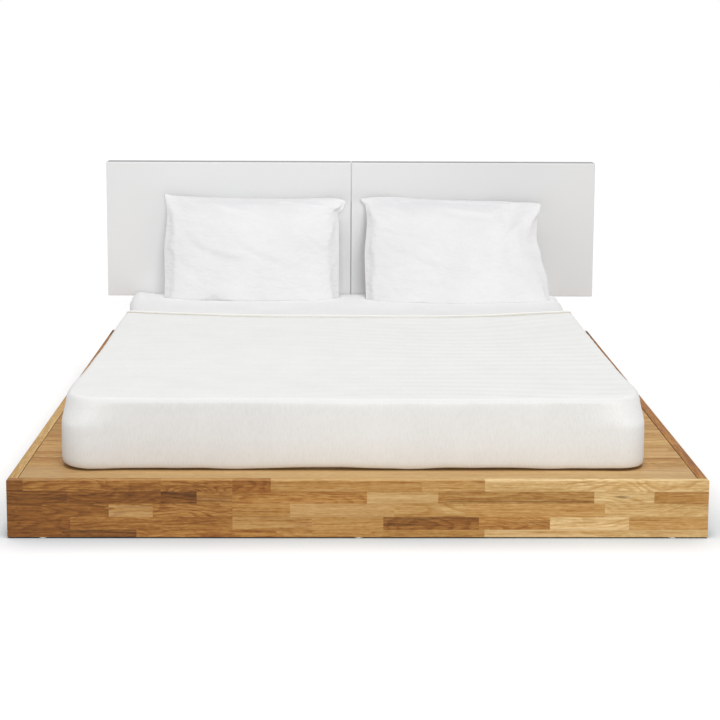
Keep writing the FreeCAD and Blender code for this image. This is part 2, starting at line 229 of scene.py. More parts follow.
def floorMaterial(values):
    # the camera sees a nearly white floor with a soft shadow near the bed; the bed is lit by a plain one
    material, w, shader = newMaterial("whiteFloor")
    near = w.node("ShaderNodeAmbientOcclusion", {"Distance": values["contactReach"]},
                  samples=values["contactSamples"]).outputs["AO"]
    closeness = w.minus(1.0, near)
    channels = []
    for depth in values["contactShadow"]:
        seen = w.times(w.minus(1.0, w.times(closeness, depth)), values["floorSeen"])
        channels.append(w.pick(seenRay(w), values["floorColour"], seen))
    setInputs(w, shader, {"Base Color": w.join(*channels), "Roughness": values["floorRoughness"],
                          "Specular IOR Level": 0.0})
    return material


def makeStudio(values):
    world = bpy.data.worlds.new("studio")
    bpy.context.scene.world = world
    world.use_nodes = True
    w = Wiring(world.node_tree)
    strength = w.pick(seenRay(w), values["ambient"], 1.0)
    setInputs(w, world.node_tree.nodes["Background"], {"Color": (1, 1, 1, 1), "Strength": strength})
    makeLamps(values)
    half = values["floorSize"] / 2
    mesh = bpy.data.meshes.new("floor")
    corners = [(-half, -half, 0), (half, -half, 0), (half, half, 0), (-half, half, 0)]
    mesh.from_pydata(corners, [], [(0, 1, 2, 3)])
    floor = bpy.data.objects.new("floor", mesh)
    bpy.context.scene.collection.objects.link(floor)
    mesh.materials.append(floorMaterial(values))


bpy.context.scene.view_settings.view_transform = "Standard"
makeCamera(cameraView)
makeStudio(studio)
print("camera and studio ready")


# Wood. Staves glued side by side: tone 0 is walnut brown and 1 pale sapwood; warmth 0 is greenish, 1 reddish;
# figure 0 is straight grain and 1 arched; streak above a half is dark heartwood, below it pale sapwood
oak = {
    "tones": (
        (0.00, srgb(64, 38, 18)),
        (0.22, srgb(106, 67, 32)),
        (0.40, srgb(140, 93, 46)),
        (0.55, srgb(168, 125, 69)),
        (0.70, srgb(185, 148, 94)),
        (0.85, srgb(204, 172, 121)),
        (1.00, srgb(230, 206, 162)),
    ),
    "coolTint": (1.0, 1.01, 0.96, 1.0),
    "warmTint": (1.06, 0.94, 0.78, 1.0),
    "heartwood": srgb(70, 46, 28),
    "sapwood": srgb(226, 196, 148),
    "knot": srgb(70, 42, 22),
    "joint": srgb(70, 44, 24),
    "endGrain": srgb(96, 58, 28),
    "faded": srgb(190, 163, 124),
    # repeats in a metre, along and across the grain
    "fineGrain": (9.0, 270.0),
    "broadGrain": (2.0, 34.0),
    "mottle": (50.0, 190.0),
    "streaks": (1.8, 80.0),
    "ringWander": (2.4, 30.0),
    "archField": (3.0, 12.0),
    "knotField": (3.2, 16.0),
    # darker marks: repeats in a metre, detail, roughness, where they start and are full, tone taken off
    "marks": {
        "pores": ((34.0, 1100.0), 1.0, 0.5, (0.60, 0.72), 0.08),
        "flecks": ((14.0, 420.0), 2.0, 0.6, (0.60, 0.72), 0.14),
        "lines": ((1.3, 150.0), 2.0, 0.5, (0.66, 0.72), 0.11),
    },
    "fineTone": 0.56,
    "broadTone": 0.34,
    "mottleTone": 0.34,
    "ringTone": (0.05, 0.14),  # straight grain, arched grain
    "ringsAcross": 150.0,
    "ringsInArch": 34.0,
    "boldArchShare": 0.45,
    "wanderRings": 7.0,
    "depthShare": 0.7,
    "broadWarmth": 0.8,
    "heartwoodShare": 0.62,
    "sapwoodShare": 0.8,
    "knotShare": 0.8,
    "plainCells": 0.88,
    "seedStep": (9.0, 4.3, 2.7),
    "jointWidth": 0.0006,
    "jointShare": 0.35,
    "endGrainShare": 0.45,
    "darkStaveDrop": 0.22,
}


def treeSockets(tree, kinds):
    # kinds: (label, kind, direction) for each socket of a node group
    for label, kind, direction in kinds:
        tree.interface.new_socket(name=label, in_out=direction, socket_type="NodeSocket" + kind)


def lateWood(w, values, given, place, fine):
    # the dark part of each growth ring, in straight lines or arches
    y, z = w.split(given["Place"])[1:3]
    straight = w.times(w.plus(y, w.times(z, values["depthShare"])), values["ringsAcross"])
    wander = w.grain(place, values["ringWander"], 2.0, 0.5)
    straight = w.plus(straight, w.times(wander, values["wanderRings"]))
    # bold figure has fewer, wider arches
    rings = values["ringsInArch"]
    archCount = w.pick(given["Figure"], rings, rings * values["boldArchShare"])
    arch = w.grain(place, values["archField"], 1.0, 0.4, 0.6)
    arched = w.plus(w.times(arch, archCount), w.times(fine, 0.5))
    ring = w.calc("FRACT", w.pick(given["Figure"], straight, arched))
    return w.times(w.spread(ring, 0.35, 0.90), w.spread(ring, 0.93, 1.0, 1.0, 0.0))


def addKnots(w, values, place, colour):
    along, across = values["knotField"]
    cells = w.node("ShaderNodeTexVoronoi", {"Vector": w.scaled(place, (along, across, across)), "Scale": 1.0,
                                            "Randomness": 1.0})
    chosen = w.calc("GREATER_THAN", w.split(cells.outputs["Color"])[0], values["plainCells"])
    knot = w.spread(cells.outputs["Distance"], 0.05, 0.13, 1.0, 0.0)
    return w.blend(w.times(w.times(knot, chosen), values["knotShare"]), colour, values["knot"])


def makeOakFigure(values):
    group = bpy.data.node_groups.new("oakFigure", "ShaderNodeTree")
    treeSockets(group, [("Place", "Vector", "INPUT")]
                + [(label, "Float", "INPUT") for label in ("Tone", "Warmth", "Figure", "Streak", "Seed")]
                + [("Color", "Color", "OUTPUT"), ("Relief", "Float", "OUTPUT")])
    w = Wiring(group)
    given = w.node("NodeGroupInput").outputs
    offset = w.join(*(w.times(given["Seed"], step) for step in values["seedStep"]))
    place = w.node("ShaderNodeVectorMath", {0: given["Place"], 1: offset}, operation="ADD").outputs[0]

    fine = w.grain(place, values["fineGrain"], 4.0, 0.62)
    broad = w.grain(place, values["broadGrain"], 2.0, 0.5, 0.4)
    tone = w.sway(given["Tone"], fine, values["fineTone"])
    tone = w.sway(tone, broad, values["broadTone"])
    ringTone = w.pick(given["Figure"], *values["ringTone"])
    tone = w.minus(tone, w.times(lateWood(w, values, given, place, fine), ringTone))
    tone = w.plus(tone, w.times(ringTone, 0.4))
    masks = {}
    for mark, (scales, detail, rough, edge, depth) in values["marks"].items():
        masks[mark] = w.spread(w.grain(place, scales, detail, rough), *edge)
        tone = w.minus(tone, w.times(masks[mark], depth))
    tone = w.sway(tone, w.grain(place, values["mottle"], 2.0, 0.6), values["mottleTone"])
    colour = w.ramp(tone, values["tones"])[0]
    warmth = w.sway(given["Warmth"], broad, values["broadWarmth"])
    tint = w.blend(warmth, values["coolTint"], values["warmTint"])
    colour = w.blend(1.0, colour, tint, "MULTIPLY")

    streaks = w.grain(place, values["streaks"], 3.0, 0.55, 0.5)
    dark = w.times(w.minus(given["Streak"], 0.5), 2.0)
    dark = w.times(w.spread(streaks, 0.47, 0.62), w.calc("MAXIMUM", dark, 0.0))
    colour = w.blend(w.times(dark, values["heartwoodShare"]), colour, values["heartwood"])
    pale = w.times(w.minus(0.5, given["Streak"]), 2.0)
    pale = w.times(w.spread(streaks, 0.46, 0.55), w.calc("MAXIMUM", pale, 0.0))
    colour = w.blend(w.times(pale, values["sapwoodShare"]), colour, values["sapwood"])
    colour = addKnots(w, values, place, colour)

    relief = w.minus(w.times(fine, 0.5), w.times(masks["pores"], 0.6))
    w.node("NodeGroupOutput", {"Color": colour, "Relief": relief})
    return group


oakFigure = makeOakFigure(oak)

railRows = (0.1257, 0.0938, 0.0573, 0.0233)  # heights where one row of staves ends, from the top down


def staveRows(w, spec, across):
    # the number of the row at a point, and how far off the nearest long joint is
    if "edges" in spec:
        row, rowLine = 0.0, 1.0
        for edge in spec["edges"]:
            row = w.plus(row, w.calc("LESS_THAN", across, edge))
            rowLine = w.calc("MINIMUM", rowLine, w.calc("ABSOLUTE", w.minus(across, edge)))
        return row, rowLine
    share = w.calc("DIVIDE", w.minus(across, spec["start"]), spec["width"])
    return w.calc("FLOOR", share), w.times(w.calc("PINGPONG", share, 0.5), spec["width"])


def seededStaves(w, spec, along, row):
    # staves of uneven length along each row: their looks, and how far off the nearest end is
    rowRandom = w.random(row, spec["seed"])[0]
    count = w.plus(w.calc("DIVIDE", along, spec["length"]), w.times(rowRandom, 31.0))
    bend = w.calc("SINE", w.plus(w.times(count, math.pi), w.times(rowRandom, 90.0)))
    count = w.plus(count, w.times(bend, 0.2))
    endLine = w.times(w.calc("PINGPONG", count, 0.5), spec["length"])
    chance = w.random(w.plus(w.calc("FLOOR", count), spec["seed"]), row)
    first = w.split(chance[1])
    tone = w.spread(first[0], 0.0, 1.0, *spec["toneRange"], False)
    tone = w.minus(tone, w.times(w.calc("LESS_THAN", first[1], spec["darkShare"]), oak["darkStaveDrop"]))
    looks = {
        "Tone": tone,
        "Warmth": w.spread(first[2], 0.0, 1.0, *spec["warmthRange"], False),
        "Figure": w.spread(chance[0], 0.55, 0.75),
        "Streak": w.spread(first[1], 0.0, 1.0, 0.72, 0.34, False),
        "Seed": chance[0],
    }
    return looks, endLine


def knownStaves(w, spec, along, row, looks, endLine):
    # puts the staves chosen for a row in the place of the seeded ones
    share = w.spread(along, spec["low"], spec["high"], 0.0, 1.0, False)
    for number, staves in spec["known"].items():
        starts = (0.0, *(stave[0] for stave in staves))
        stops = [(start, stave[1:]) for start, stave in zip(starts, staves)]
        colour, streak = w.ramp(share, stops, "CONSTANT")
        tone, warmth, figure = w.split(colour)
        seed = w.random(tone, w.plus(figure, float(number)))[0]
        here = w.calc("COMPARE", row, float(number), 0.5)
        for label, value in zip(looks, (tone, warmth, figure, streak, seed)):
            looks[label] = w.pick(here, looks[label], value)
        endLine = w.pick(here, endLine, 1.0)
    return endLine


def staveWood(name, spec):
    # spec: along and across are axis numbers; rows are given by edges (heights) or by start and width
    material, w, shader = newMaterial(name)
    parts = w.split(objectPlace(w))
    along, across = parts[spec["along"]], parts[spec["across"]]
    depth = parts[3 - spec["along"] - spec["across"]]
    row, rowLine = staveRows(w, spec, across)
    looks, endLine = seededStaves(w, spec, along, row)
    if "known" in spec:
        endLine = knownStaves(w, spec, along, row, looks, endLine)

    # painted light: the faces that look up are drawn lighter and less warm
    top = w.times(w.spread(facing(w, 2), 0.8, 0.95), spec.get("topLightLift", 0.0))
    darkSide = w.times(w.spread(along, -0.85, -0.45, 1.0, 0.0), spec.get("leftDrop", 0.0))
    looks["Tone"] = w.minus(w.plus(looks["Tone"], top), darkSide)
    looks["Warmth"] = w.minus(looks["Warmth"], top)
    drawn = w.node("ShaderNodeGroup", node_tree=oakFigure)
    setInputs(w, drawn, {"Place": w.join(along, across, depth), **looks})
    colour, relief = drawn.outputs
    if "fade" in spec:
        fadeWidth = spec["fadeRows"] * spec["width"]
        edge = spec["start"] + fadeWidth
        paler = w.times(w.spread(across, edge, edge + fadeWidth, 1.0, 0.0), spec["fade"])
        colour = w.blend(paler, colour, oak["faded"])
    joint = w.spread(w.calc("MINIMUM", rowLine, endLine), 0.0, oak["jointWidth"], 1.0, 0.0)
    colour = w.blend(w.times(joint, oak["jointShare"]), colour, oak["joint"])
    endGrain = w.spread(w.calc("ABSOLUTE", facing(w, spec["along"])), 0.6, 0.9)
    colour = w.blend(w.times(endGrain, oak["endGrainShare"]), colour, oak["endGrain"])
    setInputs(w, shader, {"Base Color": colour, "Roughness": w.spread(relief, -0.4, 0.5, 0.66, 0.50, False),
                          "Specular IOR Level": 0.16})
    addBump(w, shader, w.minus(relief, w.times(joint, 0.5)), 0.35, 0.0006)
    return material


# The foot board as photographed: end of each stave as a share of the width, tone, warmth, figure, streak
footBoardStaves = {
    0: (
        (0.020, 0.30, 0.55, 0.0, 0.50),
        (0.137, 0.40, 0.45, 1.0, 0.50),
        (0.215, 0.43, 0.50, 0.3, 0.50),
        (0.318, 0.46, 0.55, 0.9, 0.50),
        (0.372, 0.40, 0.90, 0.6, 0.55),
        (0.589, 0.60, 0.45, 0.0, 0.50),
        (0.676, 0.66, 0.50, 0.4, 0.50),
        (0.796, 0.79, 0.40, 0.1, 0.30),
        (1.000, 0.79, 0.45, 0.9, 0.50),
    ),
    1: (
        (0.085, 0.23, 0.40, 0.4, 0.90),
        (0.215, 0.30, 0.55, 0.6, 0.66),
        (0.268, 0.21, 0.45, 0.9, 0.75),
        (0.318, 0.47, 0.35, 0.2, 0.44),
        (0.510, 0.53, 0.75, 0.5, 0.52),
        (0.612, 0.68, 0.35, 0.2, 0.35),
        (0.623, 0.58, 0.55, 0.0, 0.50),
        (0.835, 0.58, 0.30, 0.3, 0.90),
        (0.919, 0.81, 0.35, 0.8, 0.40),
        (1.000, 0.57, 0.55, 0.1, 0.55),
    ),
    2: (
        (0.047, 0.33, 0.60, 0.7, 0.52),
        (0.144, 0.38, 0.55, 0.9, 0.50),
        (0.207, 0.50, 0.30, 0.6, 0.38),
        (0.318, 0.46, 0.40, 0.9, 0.50),
        (0.400, 0.56, 0.45, 0.2, 0.50),
        (0.549, 0.64, 0.40, 0.1, 0.40),
        (0.652, 0.67, 0.40, 0.8, 0.50),
        (0.848, 0.65, 0.65, 0.1, 0.50),
        (1.000, 0.77, 0.40, 0.5, 0.46),
    ),
    3: (
        (0.086, 0.32, 0.65, 0.6, 0.60),
        (0.318, 0.44, 0.50, 0.3, 0.50),
        (0.430, 0.60, 0.37, 0.1, 0.45),
        (0.534, 0.64, 0.45, 0.4, 0.50),
        (0.670, 0.40, 0.55, 0.7, 0.85),
        (0.772, 0.56, 0.80, 0.6, 0.62),
        (0.886, 0.85, 0.50, 0.9, 0.20),
        (1.000, 0.67, 0.55, 0.1, 0.50),
    ),
    4: (
        (0.076, 0.30, 0.70, 0.3, 0.55),
        (0.180, 0.32, 0.25, 0.3, 0.85),
        (0.380, 0.46, 0.70, 0.4, 0.50),
        (0.520, 0.57, 0.50, 0.5, 0.50),
        (0.676, 0.62, 0.45, 0.2, 0.50),
        (0.850, 0.75, 0.45, 0.3, 0.20),
        (1.000, 0.77, 0.30, 0.4, 0.40),
    ),
}

# The deck's first two rows behind the foot board, from left to right
frontDeckStaves = {
    0: (
        (0.16, 0.64, 0.05, 0.1, 0.50),
        (0.42, 0.67, 0.05, 0.2, 0.50),
        (0.60, 0.64, 0.10, 0.0, 0.50),
        (0.84, 0.69, 0.05, 0.1, 0.50),
        (1.00, 0.66, 0.10, 0.3, 0.50),
    ),
    1: (
        (0.10, 0.62, 0.10, 0.4, 0.50),
        (0.30, 0.65, 0.05, 0.1, 0.50),
        (0.55, 0.67, 0.05, 0.1, 0.50),
        (0.78, 0.64, 0.10, 0.2, 0.50),
        (1.00, 0.70, 0.05, 0.1, 0.50),
    ),
}

# The side rails' top row, from the foot to the head; the last, very dark stave at the head end is painted
# shadow from the headboard
leftRailStaves = {
    0: (
        (0.205, 0.70, 0.10, 0.2, 0.50),
        (0.400, 0.74, 0.15, 0.1, 0.50),
        (0.630, 0.60, 0.35, 0.2, 0.50),
        (0.775, 0.48, 0.50, 0.3, 0.50),
        (0.960, 0.42, 0.65, 0.2, 0.55),
        (1.000, 0.10, 0.55, 0.0, 0.70),
    )
}
rightRailStaves = {
    0: (
        (0.168, 0.46, 0.90, 0.2, 0.50),
        (0.175, 0.62, 0.60, 0.0, 0.50),
        (0.370, 0.44, 0.90, 0.2, 0.50),
        (0.600, 0.40, 0.90, 0.2, 0.50),
        (0.800, 0.37, 0.85, 0.3, 0.55),
        (0.960, 0.33, 0.80, 0.2, 0.55),
        (1.000, 0.10, 0.50, 0.0, 0.70),
    )
}


def setMaterial(name, material):
    data = nodes[name].data
    if not data.materials:
        data.materials.append(material)
    for slot in nodes[name].material_slots:
        slot.material = material


railWood = {
    "across": 2,
    "edges": railRows,
    "length": 0.36,
    "toneRange": (0.45, 0.75),
    "warmthRange": (0.3, 0.75),
    "darkShare": 0.14,
}

deckRowCount = 60
deckWood = {
    "along": 0,
    "across": 1,
    "length": 0.60,
    "seed": 53.0,
    "toneRange": (0.56, 0.69),
    "warmthRange": (0.10, 0.35),
    "darkShare": 0.0,
    "fade": 0.36,
    "fadeRows": 2.0,
    "leftDrop": 0.06,
    "known": frontDeckStaves,
}


def dressPlatform():
    footLow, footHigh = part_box("foot_rail")
    sideLow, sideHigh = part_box("side_rail_left")
    endRail = {**railWood, "along": 0, "low": footLow.x, "high": footHigh.x}
    sideRail = {**railWood, "along": 1, "low": sideLow.y, "high": sideHigh.y}
    rails = {
        # the foot rail's top face gets painted light
        "foot_rail": {**endRail, "seed": 3.0, "topLightLift": 0.12, "known": footBoardStaves},
        "head_rail": {**endRail, "seed": 17.0},
        "side_rail_left": {**sideRail, "seed": 29.0, "known": leftRailStaves},
        "side_rail_right": {**sideRail, "seed": 41.0, "known": rightRailStaves},
    }
    for name, spec in rails.items():
        setMaterial(name, staveWood(name + "_wood", spec))
    deckLow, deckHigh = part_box("deck_panel_1")[0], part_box("deck_panel_4")[1]
    rowWidth = (deckHigh.y - deckLow.y) / deckRowCount
    places = {"start": deckLow.y, "width": rowWidth, "low": deckLow.x, "high": deckHigh.x}
    deck = staveWood("deck_wood", {**deckWood, **places})
    for number in range(1, 5):
        setMaterial(f"deck_panel_{number}", deck)


dressPlatform()
print("platform wood done")


# Framing, steel, lacquer and the other finishes of the carried-over pieces
plainLooks = {
    "backPanel": {
        "grain": (120.0, 120.0, 60.0),
        "detail": 4.0,
        "rough": 0.7,
        "darker": srgb(214, 212, 208),
        "lighter": srgb(228, 226, 222),
        "roughness": 0.66,
        "relief": (700.0, 0.2, 0.0003),
    },
    "powderCoat": {
        "grain": (900.0, 900.0),
        "detail": 2.0,
        "rough": 0.5,
        "darker": srgb(206, 206, 205),
        "lighter": srgb(222, 222, 221),
        "roughness": 0.5,
        "relief": (900.0, 0.35, 0.0004),
    },
    "zincSteel": {
        "grain": (160.0, 160.0),
        "detail": 3.0,
        "rough": 0.6,
        "darker": srgb(150, 152, 154),
        "lighter": srgb(196, 197, 196),
        "roughness": (0.28, 0.46),
        "relief": (1500.0, 0.1, 0.0002),
        "more": {"Metallic": 1.0},
    },
    "glideNylon": {
        "grain": (500.0, 500.0),
        "detail": 2.0,
        "rough": 0.5,
        "darker": srgb(196, 192, 182),
        "lighter": srgb(212, 208, 198),
        "roughness": 0.55,
        "relief": (500.0, 0.15, 0.0003),
        "more": {"Subsurface Weight": 0.1, "Subsurface Scale": 0.004},
    },
}


def plainFinish(name):
    look = plainLooks[name]
    material, w, shader = newMaterial(name)
    place = objectPlace(w)
    cloud = w.grain(place, look["grain"], look["detail"], look["rough"])
    colour = w.ramp(cloud, ((0.3, look["darker"]), (0.7, look["lighter"])))[0]
    roughness = look["roughness"]
    if isinstance(roughness, tuple):
        roughness = w.spread(cloud, 0.3, 0.7, *roughness, False)
    setInputs(w, shader, {"Base Color": colour, "Roughness": roughness, **look.get("more", {})})
    scale, strength, distance = look["relief"]
    addBump(w, shader, w.noise(place, scale, 2.0), strength, distance)
    return material


timberLook = {
    "fine": (60.0, 9.0, 60.0),
    "rings": (9.0, 1.2, 9.0),
    "ringCount": 24.0,
    "ringTone": -0.16,
    "tones": ((0.2, srgb(176, 128, 74)), (0.5, srgb(214, 175, 122)), (0.8, srgb(232, 203, 158))),
}


def framingTimber(look):
    material, w, shader = newMaterial("framingTimber")
    place = objectPlace(w)
    fine = w.grain(place, look["fine"], 4.0, 0.6)
    rings = w.calc("FRACT", w.times(w.grain(place, look["rings"], 1.0), look["ringCount"]))
    tone = w.plus(fine, w.times(w.spread(rings, 0.5, 0.95), look["ringTone"]))
    setInputs(w, shader, {"Base Color": w.ramp(tone, look["tones"])[0], "Roughness": 0.7})
    addBump(w, shader, fine, 0.3, 0.0006)
    return material


lacquerLook = {
    "tones": ((0.3, srgb(223, 224, 224)), (0.7, srgb(228, 228, 228))),
    # painted shade: the headboard's upward face is drawn grey
    "topFaceShade": srgb(118, 118, 118),
    # painted light and shade: lighter on the left, darker on the right, lighter between the pillows
    "leftLightingTint": grey(1.02),
    "rightLightingTint": grey(0.95),
    "lightingReach": 0.5,
    "gapLightingTint": grey(1.13),
    "gapHalfWidth": (0.25, 0.10),
    "gapTop": (0.70, 0.62),
    "roughness": (0.34, 0.42),
}


def whiteLacquer(look):
    material, w, shader = newMaterial("whiteLacquer")
    place = objectPlace(w)
    face = w.ramp(w.noise(place, 2.2, 1.0), look["tones"])[0]
    # painted light and shade: a little lighter on the left and darker towards the right, and painted light in
    # the gap between the pillows, which shade it
    x, _, z = w.split(place)
    reach = look["lightingReach"]
    sideLightTint = w.blend(w.spread(x, -reach, reach), look["leftLightingTint"], look["rightLightingTint"])
    face = w.blend(1.0, face, sideLightTint, "MULTIPLY")
    gapLightMask = w.times(w.spread(w.calc("ABSOLUTE", x), *look["gapHalfWidth"]), w.spread(z, *look["gapTop"]))
    face = w.blend(gapLightMask, face, look["gapLightingTint"], "MULTIPLY")
    # painted shade: the faces that look up are drawn grey
    colour = w.blend(w.spread(facing(w, 2), 0.80, 0.97), face, look["topFaceShade"])
    roughness = w.spread(w.noise(place, 90.0, 2.0), 0.3, 0.7, *look["roughness"], False)
    setInputs(w, shader, {"Base Color": colour, "Roughness": roughness, "Specular IOR Level": 0.4})
    addBump(w, shader, w.noise(place, 420.0, 1.0), 0.06, 0.0002)
    return material


# the dark in each cell is painted shade of its hollow
cardLook = {"cellsInMetre": 55.0, "uneven": 0.12, "wall": srgb(190, 158, 114), "cellShade": srgb(120, 92, 60)}


def honeycombCard(look):
    material, w, shader = newMaterial("honeycombCard")
    given = {"Vector": w.scaled(objectPlace(w), (1.0, 0.0, 1.0)), "Scale": look["cellsInMetre"],
             "Randomness": look["uneven"]}
    cells = w.node("ShaderNodeTexVoronoi", given, feature="DISTANCE_TO_EDGE").outputs["Distance"]
    # painted shade: the hollow inside each cell is drawn dark, the walls keep the card's colour
    wall = w.spread(cells, 0.03, 0.09, 1.0, 0.0)
    setInputs(w, shader, {"Base Color": w.blend(wall, look["cellShade"], look["wall"]), "Roughness": 0.85})
    addBump(w, shader, wall, 0.7, 0.004)
    return material


finishes = {
    framingTimber(timberLook): ("corner_block", "side_cleat", "foot_cleat", "head_cleat", "seam_batten",
                                "centre_beam", "centre_leg", "headboard_ribs"),
    whiteLacquer(lacquerLook): ("headboard_shell",),
    plainFinish("backPanel"): ("headboard_back",),
    honeycombCard(cardLook): ("headboard_core",),
    plainFinish("powderCoat"): ("headboard_upright", "beam_hanger"),
    plainFinish("zincSteel"): ("leg_inserts", "levelling_stem", "cleat_screws", "deck_screws",
                               "batten_screws", "leg_screws", "hanger_screws", "corner_bolts",
                               "corner_washers", "rail_inserts", "rail_bolts", "headboard_bolts",
                               "upright_inserts"),
    plainFinish("glideNylon"): ("levelling_pad", "rail_glides"),
}
for finish, starts in finishes.items():
    for name in nodes:
        if name.startswith(starts):
            setMaterial(name, finish)
print("carried-over pieces dressed")


# Cloths
fleeceLook = {
    "tones": ((0.3, srgb(227, 227, 225)), (0.5, srgb(233, 233, 231)), (0.7, srgb(237, 237, 236))),
    "pile": (260.0, 260.0, 70.0),
    # painted shade on sharp folds
    "fold": srgb(208, 207, 205),
    "foldShadeShare": 0.5,
    # painted light on top towards the foot, painted shade on the left of the upright faces
    "footLightingTint": (1.065, 1.065, 1.07, 1.0),
    "footReach": (0.40, -0.85),
    "leftLightingTint": grey(0.93),
    "leftReach": (0.05, -0.55),
}


def fleece(look):
    material, w, shader = newMaterial("whiteFleece")
    place = objectPlace(w)
    pile = w.grain(place, look["pile"], 3.0, 0.65)
    shade = w.plus(w.times(pile, 0.7), w.times(w.noise(place, 9.0, 2.0), 0.3))
    colour = w.ramp(shade, look["tones"])[0]
    # painted shade on sharp folds, which takes down the light that the rounded edge catches
    up = facing(w, 2)
    flat = w.calc("SQRT", w.calc("MAXIMUM", w.minus(1.0, w.times(up, up)), 0.0))
    foldShadeMask = w.spread(w.times(w.times(up, flat), 2.0), 0.35, 1.0)
    colour = w.blend(w.times(foldShadeMask, look["foldShadeShare"]), colour, look["fold"])
    # painted light on top towards the foot, and painted shade on the left of the upright faces
    x, y, _ = w.split(place)
    onTop = w.calc("MAXIMUM", up, 0.0)
    lighter = w.times(onTop, w.spread(y, *look["footReach"]))
    leftShadeMask = w.times(w.minus(1.0, onTop), w.spread(x, *look["leftReach"]))
    colour = w.blend(lighter, colour, look["footLightingTint"], "MULTIPLY")
    colour = w.blend(leftShadeMask, colour, look["leftLightingTint"], "MULTIPLY")
    setInputs(w, shader, {"Base Color": colour, "Roughness": 0.95, "Specular IOR Level": 0.1,
                          "Sheen Weight": 0.15, "Sheen Roughness": 0.6})
    addBump(w, shader, pile, 0.4, 0.0018)
    return material


cottonLook = {
    "threadsInMetre": 1400.0,
    "threadDepth": 0.0001,
    "wrinkleScale": 24.0,
    "wrinkleDepth": 0.004,
    "crumpled": 0.0,
    # painted shade on the faces that look up
    "upwardShadeTone": srgb(200, 200, 202),
    "upwardShare": 0.0,
}


def cotton(name, darker, lighter, **changes):
    look = {**cottonLook, **changes}
    material, w, shader = newMaterial(name)
    place = objectPlace(w)
    colour = w.ramp(w.noise(place, 7.0, 2.0), ((0.3, darker), (0.7, lighter)))[0]
    # painted shade: faces that look up are drawn darker, where they catch the most light
    upward = w.spread(facing(w, 2), 0.55, 0.88)
    colour = w.blend(w.times(upward, look["upwardShare"]), colour, look["upwardShadeTone"])
    setInputs(w, shader, {"Base Color": colour, "Roughness": 0.85, "Specular IOR Level": 0.2,
                          "Sheen Weight": 0.08})
    threads = look["threadsInMetre"]
    weave = w.grain(place, (threads, threads), 1.0)
    wrinkle = w.noise(w.scaled(place, (1.0, 1.0, 1.7)), look["wrinkleScale"], 3.0, 0.55)
    depth = look["wrinkleDepth"] * look["crumpled"]
    addBump(w, shader, w.plus(w.times(weave, look["threadDepth"]), w.times(wrinkle, depth)), 1.0, 1.0)
    return material


tickingLook = {"stripesInMetre": 30.0, "ground": srgb(236, 233, 226), "stripe": srgb(190, 186, 176)}


def ticking(look):
    material, w, shader = newMaterial("mattressTicking")
    place = objectPlace(w)
    stripe = w.calc("PINGPONG", w.times(w.split(place)[0], look["stripesInMetre"]), 1.0)
    colour = w.blend(w.spread(stripe, 0.86, 0.92), look["ground"], look["stripe"])
    setInputs(w, shader, {"Base Color": colour, "Roughness": 0.9})
    addBump(w, shader, w.noise(place, 900.0, 2.0), 0.3, 0.0005)
    return material


blanketFleece = fleece(fleeceLook)
sheetCotton = cotton("sheetCotton", srgb(221, 221, 221), srgb(226, 225, 225), crumpled=0.5)
caseCotton = cotton("caseCotton", srgb(220, 219, 220), srgb(225, 224, 225), crumpled=1.0, upwardShare=0.55)
bindingCotton = cotton("bindingCotton", srgb(230, 229, 224), srgb(235, 234, 229))
threadCotton = cotton("threadCotton", srgb(196, 180, 146), srgb(214, 198, 166), threadsInMetre=2400.0)
fillingCotton = cotton("fillingCotton", srgb(232, 230, 226), srgb(240, 238, 234))
mattressTicking = ticking(tickingLook)


def meshObject(name, points, faces, material):
    mesh = bpy.data.meshes.new(name)
    mesh.from_pydata([tuple(p) for p in points], [], faces)
    mesh.materials.append(material)
    made = bpy.data.objects.new(name, mesh)
    bpy.context.scene.collection.objects.link(made)
    smoothFaces(mesh)
    return made


def smoothFaces(mesh):
    mesh.polygons.foreach_set("use_smooth", [True] * len(mesh.polygons))


def settle(obj):
    # what the modifiers make becomes the piece's own mesh
    shape = bpy.data.meshes.new_from_object(obj.evaluated_get(bpy.context.evaluated_depsgraph_get()))
    old = obj.data
    obj.modifiers.clear()
    obj.data = shape
    if old.users == 0:
        bpy.data.meshes.remove(old)
    return obj


weldReach = 0.00005


def welded(obj):
    # joins the edges of neighbouring patches
    weld = obj.modifiers.new("weld", "WELD")
    weld.merge_threshold = weldReach
    return settle(obj)


def thickened(obj, wall, offset=-1.0):
    # gives a cloth its thickness, inwards, or outwards where the offset is 1
    thick = obj.modifiers.new("thick", "SOLIDIFY")
    thick.thickness = wall
    thick.offset = offset
    return settle(obj)


def spacedPlaces(low, high, step, band, fineStep):
    # from low to high, with closer steps within band of each end
    near = max(2, round(band / fineStep))
    middle = max(2, round((high - low - 2 * band) / step))
    inner = np.linspace(low + band, high - band, middle + 1)
    return np.concatenate((np.linspace(low, low + band, near + 1)[:-1], inner,
                           np.linspace(high - band, high, near + 1)[1:]))


def roundCorner(s, t, radius):
    # a point on a square corner's two sides moves onto the arc inside it
    ds, dt = s - radius, t - radius
    inside = (ds < 0) & (dt < 0)
    length = np.where(inside, np.hypot(ds, dt), 1.0)
    reach = np.maximum(np.abs(ds), np.abs(dt))
    newS = np.where(inside, radius + ds / length * reach, s)
    newT = np.where(inside, radius + dt / length * reach, t)
    return newS, newT


gridShares = {"corner": 0.6, "edge": 0.4, "under": 0.5}  # finer steps, as shares of a skin's own step


